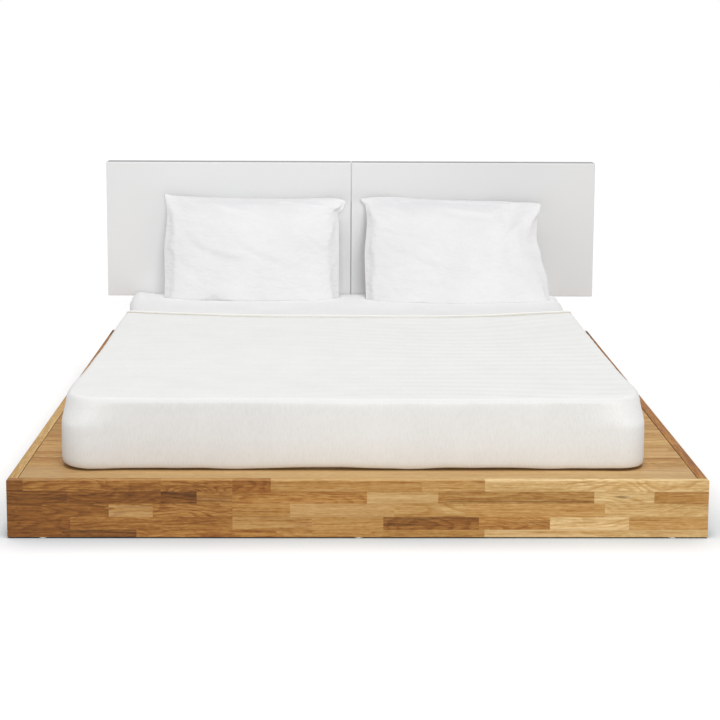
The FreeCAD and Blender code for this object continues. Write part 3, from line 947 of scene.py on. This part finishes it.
def softBox(name, size, material, step, lastY=None):
    # a cloth skin over a pad with rounded corners and edges: top, sides and a turned-under lip;
    # with lastY the skin ends there, open at its back
    (x0, x1), (y0, y1), (z0, z1) = size["x"], size["y"], size["z"]
    middleX, middleY = (x0 + x1) / 2, (y0 + y1) / 2
    halfX, halfY = (x1 - x0) / 2, (y1 - y0) / 2
    radius, edge, turn, lip = size["corner"], size["edge"], size["turn"], size["lip"]
    height = z1 - z0
    xs = spacedPlaces(-halfX, halfX, step, radius, step * gridShares["corner"])
    ys = spacedPlaces(-halfY, halfY, step, radius, step * gridShares["corner"])
    if lastY is not None:
        ys = np.append(ys[ys < lastY - middleY - step / 2], lastY - middleY)
    down = spacedPlaces(0.0, height, step, min(edge, height / 3), step * gridShares["edge"])
    under = np.linspace(0, lip, max(2, round(lip / (step * gridShares["under"]))) + 1)[1:]
    rows = [(0.0, t) for t in down] + [(s, height) for s in under]

    def placed(x, y, s, t):
        # x, y on the square outline or inside it; s inwards from it, t down from the top
        qx, qy = np.clip(x, radius - halfX, halfX - radius), np.clip(y, radius - halfY, halfY - radius)
        dx, dy = x - qx, y - qy
        reach, length = np.maximum(np.abs(dx), np.abs(dy)), np.hypot(dx, dy)
        safe = np.where(length > 0, length, 1.0)
        nx, ny = dx / safe, dy / safe
        inset = s + radius - reach
        newS, newT = roundCorner(inset, t, edge)
        newS, upT = roundCorner(newS, height - newT, turn)
        newT = height - upT
        px, py = qx + nx * (radius - newS), qy + ny * (radius - newS)
        px, py = np.where(length > 0, px, x), np.where(length > 0, py, y)
        return np.stack((px + middleX, py + middleY, z1 - newT), axis=-1)

    points, faces = [], []

    def addGrid(grid, flip):
        start = sum(len(p) for p in points)
        high, wide = grid.shape[:2]
        points.append(grid.reshape(-1, 3))
        for j in range(high - 1):
            for i in range(wide - 1):
                a = start + j * wide + i
                quad = (a, a + 1, a + wide + 1, a + wide)
                faces.append(quad[::-1] if flip else quad)

    gridX, gridY = np.meshgrid(xs, ys)
    addGrid(placed(gridX, gridY, np.zeros_like(gridX), np.zeros_like(gridX)), False)
    walls = [(xs, np.full_like(xs, -halfY), True), (np.full_like(ys, -halfX), ys, False),
             (np.full_like(ys, halfX), ys, True)]
    if lastY is None:
        walls.append((xs, np.full_like(xs, halfY), False))
    s, t = np.array(rows).T
    for wx, wy, flip in walls:
        wide = len(wx)
        gx, gy = np.tile(wx, (len(rows), 1)), np.tile(wy, (len(rows), 1))
        gs, gt = np.tile(s[:, None], (1, wide)), np.tile(t[:, None], (1, wide))
        addGrid(placed(gx, gy, gs, gt), flip)
    return welded(meshObject(name, np.concatenate(points), faces, material))


def meshPlaces(mesh, kind="co"):
    places = np.zeros(len(mesh.vertices) * 3)
    mesh.vertices.foreach_get(kind, places)
    return places.reshape(-1, 3)


def setPlaces(mesh, places):
    mesh.vertices.foreach_set("co", places.ravel())
    mesh.update()


def pushOut(obj, move):
    # moves each point by the vector that move(point, normal) gives
    places, normals = meshPlaces(obj.data), meshPlaces(obj.data, "normal")
    moved = np.array([move(Vector(p), Vector(n)) for p, n in zip(places, normals)])
    setPlaces(obj.data, places + moved)


def rimPoints(mesh):
    # the points on the open edges
    uses = {}
    for face in mesh.polygons:
        for key in face.edge_keys:
            uses[key] = uses.get(key, 0) + 1
    return sorted({v for key, n in uses.items() if n == 1 for v in key})


def softStep(value, low, high):
    share = min(max((value - low) / (high - low), 0.0), 1.0)
    return share * share * (3 - 2 * share)


def bell(value, middle, width):
    return math.exp(-((value - middle) / width) ** 2)


def wave(x, y, z, scale):
    return noise.noise(Vector((x * scale, y * scale, z * scale)))


# Mattress with its quilted top
mattressLook = {
    "corner": 0.060,
    "edge": 0.026,
    "lip": 0.12,
    "step": 0.02,
    "inset": 0.0008,
    "baseLift": 0.0005,
    "quilt": 0.19,
    "quiltDepth": 0.003,
    "quiltOnSides": 0.4,
    "headSag": 0.015,
    "sagBand": (0.16, 0.02),  # off the head end
}


def headSag(p, n, end):
    # the top falls away towards the head end, under the pillows
    start, stop = mattressLook["sagBand"]
    return mattressLook["headSag"] * softStep(p.y, end - start, end - stop) * softStep(n.z, 0.1, 0.9)


def makeMattress(look):
    low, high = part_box("mattress")
    size = {"x": (low.x, high.x), "y": (low.y, high.y), "z": (low.z, high.z), "corner": look["corner"],
            "edge": look["edge"], "turn": look["edge"], "lip": look["lip"]}
    made = softBox("mattress_pad", size, mattressTicking, look["step"])
    quilt, onSides = look["quilt"], look["quiltOnSides"]

    def puff(p, n):
        u = math.cos(math.pi * (p.x + p.y) / quilt)
        v = math.cos(math.pi * (p.x - p.y) / quilt)
        seam = min(abs(u), abs(v))
        drop = look["quiltDepth"] * (1 - softStep(seam, 0.0, 0.5)) * (onSides + (1 - onSides) * abs(n.z))
        return n * (-drop - look["inset"]) - Vector((0, 0, headSag(p, n, high.y)))

    pushOut(made, puff)
    # the underside is closed by a flat panel
    mesh = made.data
    middleX, middleY = (low.x + high.x) / 2, (low.y + high.y) / 2
    rim = [mesh.vertices[v].co.copy() for v in rimPoints(mesh)]
    rim.sort(key=lambda p: math.atan2(p.y - middleY, p.x - middleX))
    start, count = len(mesh.vertices), len(rim)
    points = [v.co.copy() for v in mesh.vertices] + rim + [(middleX, middleY, low.z + look["baseLift"])]
    faces = [tuple(f.vertices) for f in mesh.polygons]
    faces += [(start + (k + 1) % count, start + k, start + count) for k in range(count)]
    bpy.data.objects.remove(made)
    made = welded(meshObject("mattress_pad", points, faces, mattressTicking))
    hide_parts("mattress")
    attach(made, "mattress")


# Fitted sheet: stretched over the mattress, looser at the head corners
sheetLook = {
    "step": 0.0135,
    "wall": 0.0005,
    "grow": 0.0010,
    "under": 0.0004,
    "inwards": 0.0004,
    "lip": 0.055,
    "looseBand": (-0.05, 0.25),  # past the blanket's hem
    "ripple": (6.0, 0.002),  # waves in a metre, depth
    "bulge": 0.040,
    "rightBulge": 0.014,
    "bulgeStart": 0.05,
    "bulgeEnd": 0.12,
    "bulgeRise": 0.08,
    "creaseDepth": 0.005,
    "creaseTurns": 19.0,
    "creaseSlope": (2.0, 3.0),
    "creaseWander": 0.80,
}


def makeSheet(look):
    low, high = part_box("mattress")
    grow = look["grow"]
    size = {"x": (low.x - grow, high.x + grow), "y": (low.y - grow, high.y + grow),
            "z": (low.z - look["under"], high.z + grow), "corner": mattressLook["corner"] + grow,
            "edge": mattressLook["edge"] + grow, "turn": mattressLook["edge"] + grow, "lip": look["lip"]}
    made = softBox("fitted_sheet_cloth", size, sheetCotton, look["step"])
    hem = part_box("blanket")[1].y
    looseFrom, looseTo = look["looseBand"]
    scale, ripple = look["ripple"]
    slopeY, slopeZ = look["creaseSlope"]

    def loosen(p, n):
        head = softStep(p.y, hem + looseFrom, hem + looseTo)
        side = 1 - abs(n.z)
        out = wave(p.x, p.y, p.z, scale) * ripple * head * (0.25 + 0.75 * side)
        if abs(p.x) > 0.5:
            bulge = look["bulge"] if p.x < 0 else look["rightBulge"]
            bulge *= softStep(p.y, hem + look["bulgeStart"], high.y - look["bulgeEnd"])
            out += bulge * n.x * n.x * softStep(p.z, low.z, low.z + look["bulgeRise"])
        bend = wave(p.x, p.y, p.z, 4.0) * look["creaseWander"]
        creases = math.sin((p.y * slopeY - p.z * slopeZ + bend) * look["creaseTurns"])
        creases *= 0.55 + wave(p.y, p.x, p.z, 5.0)
        out += look["creaseDepth"] * creases * head * (0.05 + 0.95 * side) * softStep(abs(p.x), 0.4, 0.7)
        return n * max(out, -look["inwards"]) - Vector((0, 0, headSag(p, n, high.y)))

    pushOut(made, loosen)
    thickened(made, look["wall"], 1.0)
    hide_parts("fitted_sheet")
    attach(made, "mattress")


# Blanket: thick fleece, tucked at the foot and sides, with a bound edge at the head
blanketLook = {
    "flat": (1.90, 1.58),
    "formLength": 2.2,  # of the bed form that it is cut from, longer than the blanket
    "corner": 0.080,
    "edge": 0.011,
    "turn": 0.012,
    "lip": 0.02,
    "step": 0.011,
    "wall": 0.008,
    "clearance": 0.0003,
    # the cloth's waves: how many in a metre, depth
    "topSwell": (2.3, 0.004),
    "sideRipple": (7.0, 0.0022),
    "sideSwell": (3.1, 0.0040),
    "topRipple": (95.0, 0.0008),
    "rippleWander": 0.10,
    # swells and a pull on the long sides: depth, place along Y, width
    "leftSwell": (0.010, -0.78, 0.24),
    "rightSwell": (0.006, -0.80, 0.22),
    "headPull": (0.005, 0.08, 0.22),
    # front corners: how far in they sit, their width, how far they go out below and in above
    "cornerInset": 0.022,
    "cornerWidth": 0.09,
    "cornerPush": 0.0063,
    "cornerDraw": 0.0112,
    "footLift": 0.011,
    # the edge on the deck, and the bound edge with its groove at the head
    "footWave": 0.0045,
    "hemLift": 0.0030,
    "hemWidth": 0.012,
    "hemRise": 0.0020,
    "hemSnug": 0.0025,
    "groove": 0.0030,
    "grooveWidth": 0.007,
    "sewnInset": 0.009,
    "headCurve": 0.100,
}


def makeBlanket(look):
    low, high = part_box("blanket")
    middle = (low.x + high.x) / 2
    half = high.x - middle
    size = {"x": (low.x, high.x), "y": (low.y, low.y + look["formLength"]), "z": (low.z, high.z),
            "corner": look["corner"], "edge": look["edge"], "turn": look["turn"], "lip": look["lip"]}
    made = softBox("blanket_cloth", size, blanketFleece, look["step"], lastY=high.y)
    headRim = [v for v in rimPoints(made.data) if abs(made.data.vertices[v].co.y - high.y) < 1e-5]

    def standOut(p, n):
        # how far the cloth stands out from its plain form
        side, up = 1 - abs(n.z), abs(n.z)
        scale, depth = look["topSwell"]
        out = wave(p.x, p.y, 0.3, scale) * depth * up
        scale, depth = look["sideRipple"]
        out += wave(p.x, p.y, p.z * 0.25, scale) * depth * side
        scale, depth = look["sideSwell"]
        out += wave(p.x, p.y, p.z, scale) * depth * side * softStep(p.y, low.y + 0.1, low.y + 0.3)
        depth, place, width = look["leftSwell"] if p.x < middle else look["rightSwell"]
        out += depth * bell(p.y, place, width) * softStep(abs(p.x - middle), 0.6, 0.72) * side
        depth, place, width = look["headPull"]
        out -= depth * side * bell(p.y, place, width)
        turns, depth = look["topRipple"]
        ripple = math.sin((p.y + wave(p.x, p.y, 0.0, 1.6) * look["rippleWander"]) * turns) * depth * up
        out += ripple * (0.35 + 0.65 * softStep(p.x, -0.3, 0.5)) * softStep(p.z, high.z - 0.03, high.z)
        inset = high.y - p.y
        out += look["hemRise"] * (1 - softStep(inset, look["hemWidth"], look["hemWidth"] + 0.006))
        out -= look["groove"] * bell(inset, look["hemWidth"] + look["sewnInset"], look["grooveWidth"])
        return out - look["hemSnug"] * (1 - softStep(inset, 0.0, 0.06))

    def frontCorner(p):
        # the two corners at the foot go out near the deck and in at the top
        x, y = half - abs(p.x - middle) - look["cornerInset"], p.y - low.y - look["cornerInset"]
        upper = softStep(p.z, high.z - 0.075, high.z - 0.005)
        push = look["cornerPush"] * (1 - upper) - look["cornerDraw"] * upper
        push *= bell(math.hypot(x, y), 0.0, look["cornerWidth"])
        return Vector((push if p.x > middle else -push, -push, 0.0))

    def rise(p):
        # higher at the foot's top edge, and not quite down on the deck everywhere
        height = (p.z - low.z) / (high.z - low.z)
        up = look["footLift"] * height * (1 - softStep(p.y, low.y, low.y + 0.5))
        hem = 1 - softStep(p.z, low.z + 0.004, low.z + 0.05)
        up += look["footWave"] * (wave(p.x, p.y, 2.0, 4.0) + wave(p.x, p.y, 7.0, 11.0) * 0.5 + 0.30) * hem
        return up + look["hemLift"] * hem * (1 - softStep(p.y, low.y + 0.03, low.y + 0.14))

    def drape(p, n):
        shift = n * standOut(p, n) + frontCorner(p)
        outwards = max(abs(p.x - middle) - 0.25, 0) / 0.5
        shift.y += look["headCurve"] * outwards ** 1.5 * (1 - softStep(high.y - p.y, 0.0, 0.6))
        shift.z = max(shift.z + rise(p), low.z + look["clearance"] - p.z)
        return shift

    pushOut(made, drape)
    edge = [made.data.vertices[v].co.copy() for v in headRim]
    edge = [p for p in edge if p.z > low.z + 0.006]
    edge.sort(key=lambda p: math.atan2(p.x - middle, p.z - low.z + 0.05))
    thickened(made, look["wall"])
    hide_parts("blanket")
    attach(made, "mattress")
    return made, edge


def lineTree(name, sizes, makeShape):
    # a tree that runs a shape along a line; sizes are its named inputs
    tree = bpy.data.node_groups.new(name, "GeometryNodeTree")
    treeSockets(tree, [("Geometry", "Geometry", "INPUT")] + [(size, "Float", "INPUT") for size in sizes]
                + [("Cloth", "Material", "INPUT"), ("Geometry", "Geometry", "OUTPUT")])
    w = Wiring(tree)
    given = w.node("NodeGroupInput").outputs
    even = w.node("GeometryNodeResampleCurve", {"Curve": given["Geometry"], "Length": given["Spacing"]},
                  mode="LENGTH")
    real = w.node("GeometryNodeRealizeInstances", {"Geometry": makeShape(w, given, even.outputs[0])})
    dressed = w.node("GeometryNodeSetMaterial", {"Geometry": real.outputs[0], "Material": given["Cloth"]})
    w.node("NodeGroupOutput", {"Geometry": dressed.outputs[0]})
    return tree


def sweptOval(w, given, line):
    ring = w.node("GeometryNodeCurvePrimitiveCircle", {"Resolution": 14, "Radius": 1.0})
    scale = w.join(given["Width"], given["Height"], 1.0)
    oval = w.node("GeometryNodeTransform", {"Geometry": ring.outputs["Curve"], "Scale": scale})
    swept = w.node("GeometryNodeCurveToMesh", {"Curve": line, "Profile Curve": oval.outputs[0],
                                               "Fill Caps": True})
    return swept.outputs[0]


def stitchRow(w, given, line):
    # small rounded stitches that lie along the line
    ball = w.node("GeometryNodeMeshUVSphere", {"Segments": 6, "Rings": 4, "Radius": 0.5})
    scale = w.join(given["Length"], given["Width"], given["Height"])
    stitch = w.node("GeometryNodeTransform", {"Geometry": ball.outputs["Mesh"], "Scale": scale})
    tangent = w.node("GeometryNodeInputTangent").outputs[0]
    turn = w.node("FunctionNodeAlignRotationToVector", {"Vector": tangent}, axis="X")
    placed = w.node("GeometryNodeInstanceOnPoints", {"Points": line, "Instance": stitch.outputs[0],
                                                     "Rotation": turn.outputs[0]})
    return placed.outputs[0]


def grown(name, tree, points, values):
    # runs a tree along a line of points and keeps the result as a plain mesh
    curve = bpy.data.curves.new(name, "CURVE")
    curve.dimensions = "3D"
    spline = curve.splines.new("POLY")
    spline.points.add(len(points) - 1)
    for point, place in zip(spline.points, points):
        point.co = (*place, 1.0)
    line = bpy.data.objects.new(name, curve)
    bpy.context.scene.collection.objects.link(line)
    modifier = line.modifiers.new(tree.name, "NODES")
    modifier.node_group = tree
    for item in tree.interface.items_tree:
        if item.in_out == "INPUT" and item.name in values:
            modifier[item.identifier] = values[item.name]
    mesh = bpy.data.meshes.new_from_object(line.evaluated_get(bpy.context.evaluated_depsgraph_get()))
    bpy.data.objects.remove(line)
    made = bpy.data.objects.new(name, mesh)
    bpy.context.scene.collection.objects.link(made)
    smoothFaces(mesh)
    return made


bindingLook = {"Width": 0.0045, "Height": 0.0034, "Spacing": 0.010}
bindingLift = 0.001
hemStitchLook = {"Length": 0.0011, "Width": 0.0110, "Height": 0.0012, "Spacing": 0.0026}


def bindBlanket(edge):
    piping = lineTree("piping", bindingLook, sweptOval)
    stitches = lineTree("stitches", hemStitchLook, stitchRow)
    raised = [p + Vector((0, bindingLift, 0)) for p in edge]
    binding = grown("blanket_binding", piping, raised, {**bindingLook, "Cloth": bindingCotton})
    inset = blanketLook["hemWidth"] + blanketLook["sewnInset"]
    sewn = [p - Vector((0, inset, 0)) for p in edge]
    stitching = grown("blanket_hem_stitches", stitches, sewn, {**hemStitchLook, "Cloth": threadCotton})
    for piece in (binding, stitching):
        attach(piece, "mattress")
    return [binding, stitching]


makeMattress(mattressLook)
makeSheet(sheetLook)
blanketCloth, blanketEdge = makeBlanket(blanketLook)
blanketTrim = bindBlanket(blanketEdge)
print("mattress, sheet and blanket done")


# Pillows: plump bags, fuller at the bottom, whose cloth is a little too large, set against the headboard
pillowLook = {
    "columns": 70,
    "rows": 50,
    "flat": (0.71, 0.52),
    "size": (0.655, 0.455, 0.150),
    "wall": 0.0012,
    # the bag, in shares of its half width and half height: its fullest height, how it crowns, its corners
    "belly": -0.15,
    "crownAbove": (2.6, 0.6),
    "crownBelow": (8, 0.5),
    "crownAcross": (2.4, 0.90),
    "uneven": 0.08,
    "earSize": (0.07, 0.10),
    "cornerSize": (0.05, 0.07),
    "cornerCut": (0.015, 0.025),
    # the cloth's own small folds: how far they may move it, less near the top corners
    "frames": 20,
    "cap": 0.008,
    "heldShare": 0.8,
    "waves": (11.0, 0.0020),
    # where it rests: gap to the headboard, softness of the bend there and at the sheet, how far it sinks in
    "gap": 0.0006,
    "leanSoftness": 0.003,
    "seatSoftness": 0.002,
    "sink": 0.001,
    "overhang": 0.016,
    # the filling is a little smaller than the bag
    "fillingShares": (0.965, 0.955, 0.95),
    "fillingReach": (0.318, 0.212),
    "fillingInset": 0.002,
}

clothSettings = {
    "quality": 6,
    "mass": 0.3,
    "tension_stiffness": 15,
    "compression_stiffness": 15,
    "shear_stiffness": 5,
    "bending_stiffness": 0.6,
    "shrink_min": -0.07,
    "use_pressure": True,
    "uniform_pressure_force": 1.5,
}

# For each pillow: how its sides run from the bottom (-1) to the top (1), in metres outwards; its pointed
# corners as (side, rise, reach out); folds across its face as (start, end, sag, width, depth)
pillowShapes = {
    "left": {
        "lean": 27.5,
        "roll": 0.4,
        "shift": (-0.0056, -0.019),
        "thick": 0.92,
        "stretch": 0.066,
        "seed": 5.0,
        "low": ((-1.0, -0.006), (-0.5, -0.002), (0.1, 0.006), (0.5, 0.001), (0.8, -0.001), (1.0, 0.001)),
        "high": ((-1.0, 0.004), (0.0, 0.004), (0.5, 0.002), (0.72, -0.004), (0.80, 0.014), (1.0, 0.018)),
        "ears": ((-1, 0.011, 0.004), (1, -0.013, 0.000)),
        "folds": (
            ((-0.25, 0.06), (0.00, -0.06), -0.030, 0.016, 0.0060),
            ((-0.06, 0.03), (0.15, -0.07), -0.020, 0.014, 0.0060),
            ((0.21, 0.03), (0.28, 0.00), 0.004, 0.010, 0.0040),
            ((0.10, 0.17), (0.31, 0.14), 0.004, 0.010, 0.0035),
            ((-0.16, 0.18), (0.02, 0.12), -0.010, 0.014, 0.0040),
            ((-0.27, -0.04), (-0.16, -0.13), 0.008, 0.012, 0.0035),
            ((-0.33, 0.206), (0.08, 0.196), 0.000, 0.007, 0.0045),
            ((-0.02, 0.202), (0.34, 0.172), -0.004, 0.007, 0.0045),
        ),
    },
    "right": {
        "lean": 32.5,
        "roll": 1.9,
        "shift": (-0.011, -0.008),
        "thick": 0.96,
        "stretch": 0.092,
        "seed": 11.0,
        "low": ((-1.0, -0.008), (0.0, 0.007), (0.5, 0.002), (0.8, 0.004), (1.0, 0.017)),
        "high": ((-1.0, 0.048), (-0.75, 0.050), (-0.4, 0.032), (0.0, 0.009), (0.32, -0.006), (0.45, -0.006),
                 (0.8, -0.003), (1.0, -0.001)),
        "ears": ((-1, -0.012, 0.004), (1, -0.008, 0.002)),
        "folds": (
            ((-0.27, 0.02), (-0.02, -0.10), -0.012, 0.014, 0.0055),
            ((-0.30, 0.08), (-0.12, 0.03), -0.008, 0.012, 0.0040),
            ((0.22, 0.18), (0.27, -0.16), -0.030, 0.022, 0.0080),
            ((-0.05, -0.08), (0.12, -0.14), 0.006, 0.014, 0.0040),
            ((-0.05, 0.15), (0.16, 0.13), -0.006, 0.014, 0.0040),
            ((-0.30, 0.16), (-0.20, 0.10), -0.006, 0.010, 0.0035),
            ((-0.32, 0.200), (0.05, 0.190), 0.000, 0.008, 0.0040),
            ((-0.05, 0.194), (0.33, 0.196), -0.004, 0.008, 0.0040),
        ),
    },
}


def alongTable(table, value):
    spots, offsets = zip(*table)
    place = int(np.clip(np.searchsorted(spots, value) - 1, 0, len(spots) - 2))
    share = softStep(value, spots[place], spots[place + 1])
    return offsets[place] * (1 - share) + offsets[place + 1] * share


def fullness(v, look):
    # 0 at the seams, 1 at the belly
    belly = look["belly"]
    if v > belly:
        power, root = look["crownAbove"]
        return max(1 - ((v - belly) / (1 - belly)) ** power, 0) ** root
    power, root = look["crownBelow"]
    return max(1 - ((belly - v) / (1 + belly)) ** power, 0) ** root


def foldHeight(x, y, fold):
    # a soft valley beside a soft ridge along a sagging line
    (x0, y0), (x1, y1), sag, width, depth = fold
    dx, dy = x1 - x0, y1 - y0
    length = math.hypot(dx, dy)
    share = ((x - x0) * dx + (y - y0) * dy) / length ** 2
    across = ((y - y0) * dx - (x - x0) * dy) / length - sag * 4 * share * (1 - share)
    ends = softStep(share, -0.12, 0.30) * (1 - softStep(share, 0.70, 1.12))
    return depth * ends * (bell(across, width * 0.7, width) - bell(across, 0.0, width))


def bagPoint(u, v, layer, look, shape):
    # u and v run from -1 to 1 across and up the bag; layer is 1 for its front and -1 for its back
    halfWide, halfHigh, halfThick = (d / 2 for d in look["size"])
    x = halfWide * u + alongTable(shape["high"], v) * softStep(u, 0.4, 1.0)
    x -= alongTable(shape["low"], v) * softStep(-u, 0.4, 1.0)
    y = halfHigh * v
    earWide, earHigh = look["earSize"]
    for side, rise, reach in shape["ears"]:
        near = math.exp(-(1 - side * u) / earWide - (1 - v) / earHigh)
        x, y = x + side * reach * near, y + rise * near
    cornerWide, cornerHigh = look["cornerSize"]
    cut = max(abs(u) - 1 + cornerWide, 0) / cornerWide * max(-v - 1 + cornerHigh, 0) / cornerHigh
    inwards, upwards = look["cornerCut"]
    x -= math.copysign(halfWide * inwards * cut, u)
    y += halfHigh * upwards * cut
    y -= shape["stretch"] * softStep(-v, 0.1, 1.0)
    power, root = look["crownAcross"]
    z = halfThick * shape["thick"] * max(1 - abs(u) ** power, 0) ** root * fullness(v, look)
    z *= 1 + look["uneven"] * noise.noise(Vector((u * 1.7 + shape["seed"], v * 1.3, layer)))
    return x, y, layer * z


def plumpBag(name, look, shape):
    columns, rows = look["columns"], look["rows"]
    points, faces, index = [], [], {}
    for layer in (1, -1):
        for j in range(rows + 1):
            for i in range(columns + 1):
                rim = i in (0, columns) or j in (0, rows)
                if rim and layer == -1:
                    index[layer, i, j] = index[1, i, j]
                    continue
                u = math.sin((i / columns - 0.5) * math.pi)
                v = math.sin((j / rows - 0.5) * math.pi)
                x, y, z = bagPoint(u, v, layer, look, shape)
                index[layer, i, j] = len(points)
                points.append((x, y, 0.0 if rim else z))
        for j in range(rows):
            for i in range(columns):
                around = ((i, j), (i + 1, j), (i + 1, j + 1), (i, j + 1))
                quad = tuple(index[layer, a, b] for a, b in around)
                faces.append(quad if layer == 1 else quad[::-1])
    return meshObject(name, points, faces, caseCotton)


def crumple(bag, look):
    # lets the slack cloth find its own folds, then keeps them near the plump shape
    plump = meshPlaces(bag.data)
    cloth = bag.modifiers.new("cloth", "CLOTH")
    for setting, value in clothSettings.items():
        setattr(cloth.settings, setting, value)
    cloth.settings.effector_weights.gravity = 0
    cloth.point_cache.frame_start = 1
    cloth.point_cache.frame_end = look["frames"]
    scene = bpy.context.scene
    for step in range(1, look["frames"] + 1):
        scene.frame_set(step)
    settle(bag)
    scene.frame_set(1)
    moved = meshPlaces(bag.data) - plump
    length = np.linalg.norm(moved, axis=1, keepdims=True) + 1e-9
    print("pillow cloth moved by up to", float(length.max()))
    held = np.array([softStep(abs(x), 0.22, 0.31) * softStep(y, 0.14, 0.21) for x, y, _ in plump])[:, None]
    cap = look["cap"] * (1 - look["heldShare"] * held)
    setPlaces(bag.data, plump + moved * (cap * np.tanh(length / cap) / length))


def placePillow(places, side, shape, inset=0.0):
    # from the pillow's own plane to its place: leaning on the headboard, its bottom pressed flat on the sheet
    look = pillowLook
    low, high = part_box(f"pillowcase_{side}")
    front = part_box("headboard_shell_left")[0].y - inset - look["gap"]
    lean, roll = math.radians(shape["lean"]), math.radians(shape["roll"])
    body = np.abs(places[:, 0]) < look["size"][0] * 0.4
    places = places @ np.array(Matrix.Rotation(-roll, 3, "Z")).T
    up = np.array((0, math.sin(lean), math.cos(lean)))
    out = np.array((0, -math.cos(lean), math.sin(lean)))
    turned = np.outer(places[:, 0], (1, 0, 0)) + np.outer(places[:, 1], up) + np.outer(places[:, 2], out)
    shape.setdefault("back", turned[body, 1].max())  # the case's, which its filling follows
    shape.setdefault("top", turned[body, 2].max())
    turned[:, 0] += (low.x + high.x) / 2 + shape["shift"][0]
    turned[:, 1] += high.y - shape["back"]
    turned[:, 2] += high.z - shape["top"] + shape["shift"][1]
    # past the mattress's rounded edge the bottom hangs a little
    edge = mattressLook["edge"]
    over = np.clip(np.abs(turned[:, 0]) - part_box("mattress")[1].x + edge, 0, edge * 0.95)
    seat = low.z + inset - np.minimum(edge - np.sqrt(edge ** 2 - over ** 2), look["overhang"])
    soft = look["seatSoftness"]
    pressed = seat + soft * np.logaddexp(0, (turned[:, 2] - seat) / soft) - look["sink"]
    turned[:, 1] += (pressed - turned[:, 2]) * math.tan(lean)
    turned[:, 2] = pressed
    soft = look["leanSoftness"]
    turned[:, 1] = front - soft * np.logaddexp(0, (front - turned[:, 1]) / soft)
    return turned


def makePillow(side, shape):
    bag = plumpBag(f"pillowcase_{side}_cloth", pillowLook, shape)
    crumple(bag, pillowLook)
    scale, depth = pillowLook["waves"]

    def crease(p, n):
        if p.z <= 0:
            return Vector((0, 0, 0))
        height = sum(foldHeight(p.x, p.y, fold) for fold in shape["folds"])
        height += depth * wave(p.x + p.y * 0.6, p.y - p.x * 0.6, shape["seed"], scale)
        return Vector((0, 0, height * softStep(p.z, 0.01, 0.04)))

    pushOut(bag, crease)
    smoother = bag.modifiers.new("finer", "SUBSURF")
    smoother.levels = 1
    smoother.render_levels = 1
    settle(bag)
    filling = bag.copy()
    filling.data = bag.data.copy()
    filling.name = f"pillow_filling_{side}"
    bpy.context.scene.collection.objects.link(filling)
    filling.data.materials[0] = fillingCotton
    own = meshPlaces(bag.data)
    setPlaces(bag.data, placePillow(own, side, shape))
    inner = own * np.array(pillowLook["fillingShares"])
    reachX, reachY = pillowLook["fillingReach"]
    inner[:, 0] = np.clip(inner[:, 0], -reachX, reachX)
    inner[:, 1] = np.minimum(inner[:, 1], reachY)
    setPlaces(filling.data, placePillow(inner, side, shape, pillowLook["fillingInset"]))
    thickened(bag, pillowLook["wall"])
    body = f"pillow_{side}"
    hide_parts(f"pillowcase_{side}")
    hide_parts(f"pillow_insert_{side}")
    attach(bag, body)
    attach(filling, body)


for side, shape in pillowShapes.items():
    makePillow(side, shape)
    print("pillow done:", side)
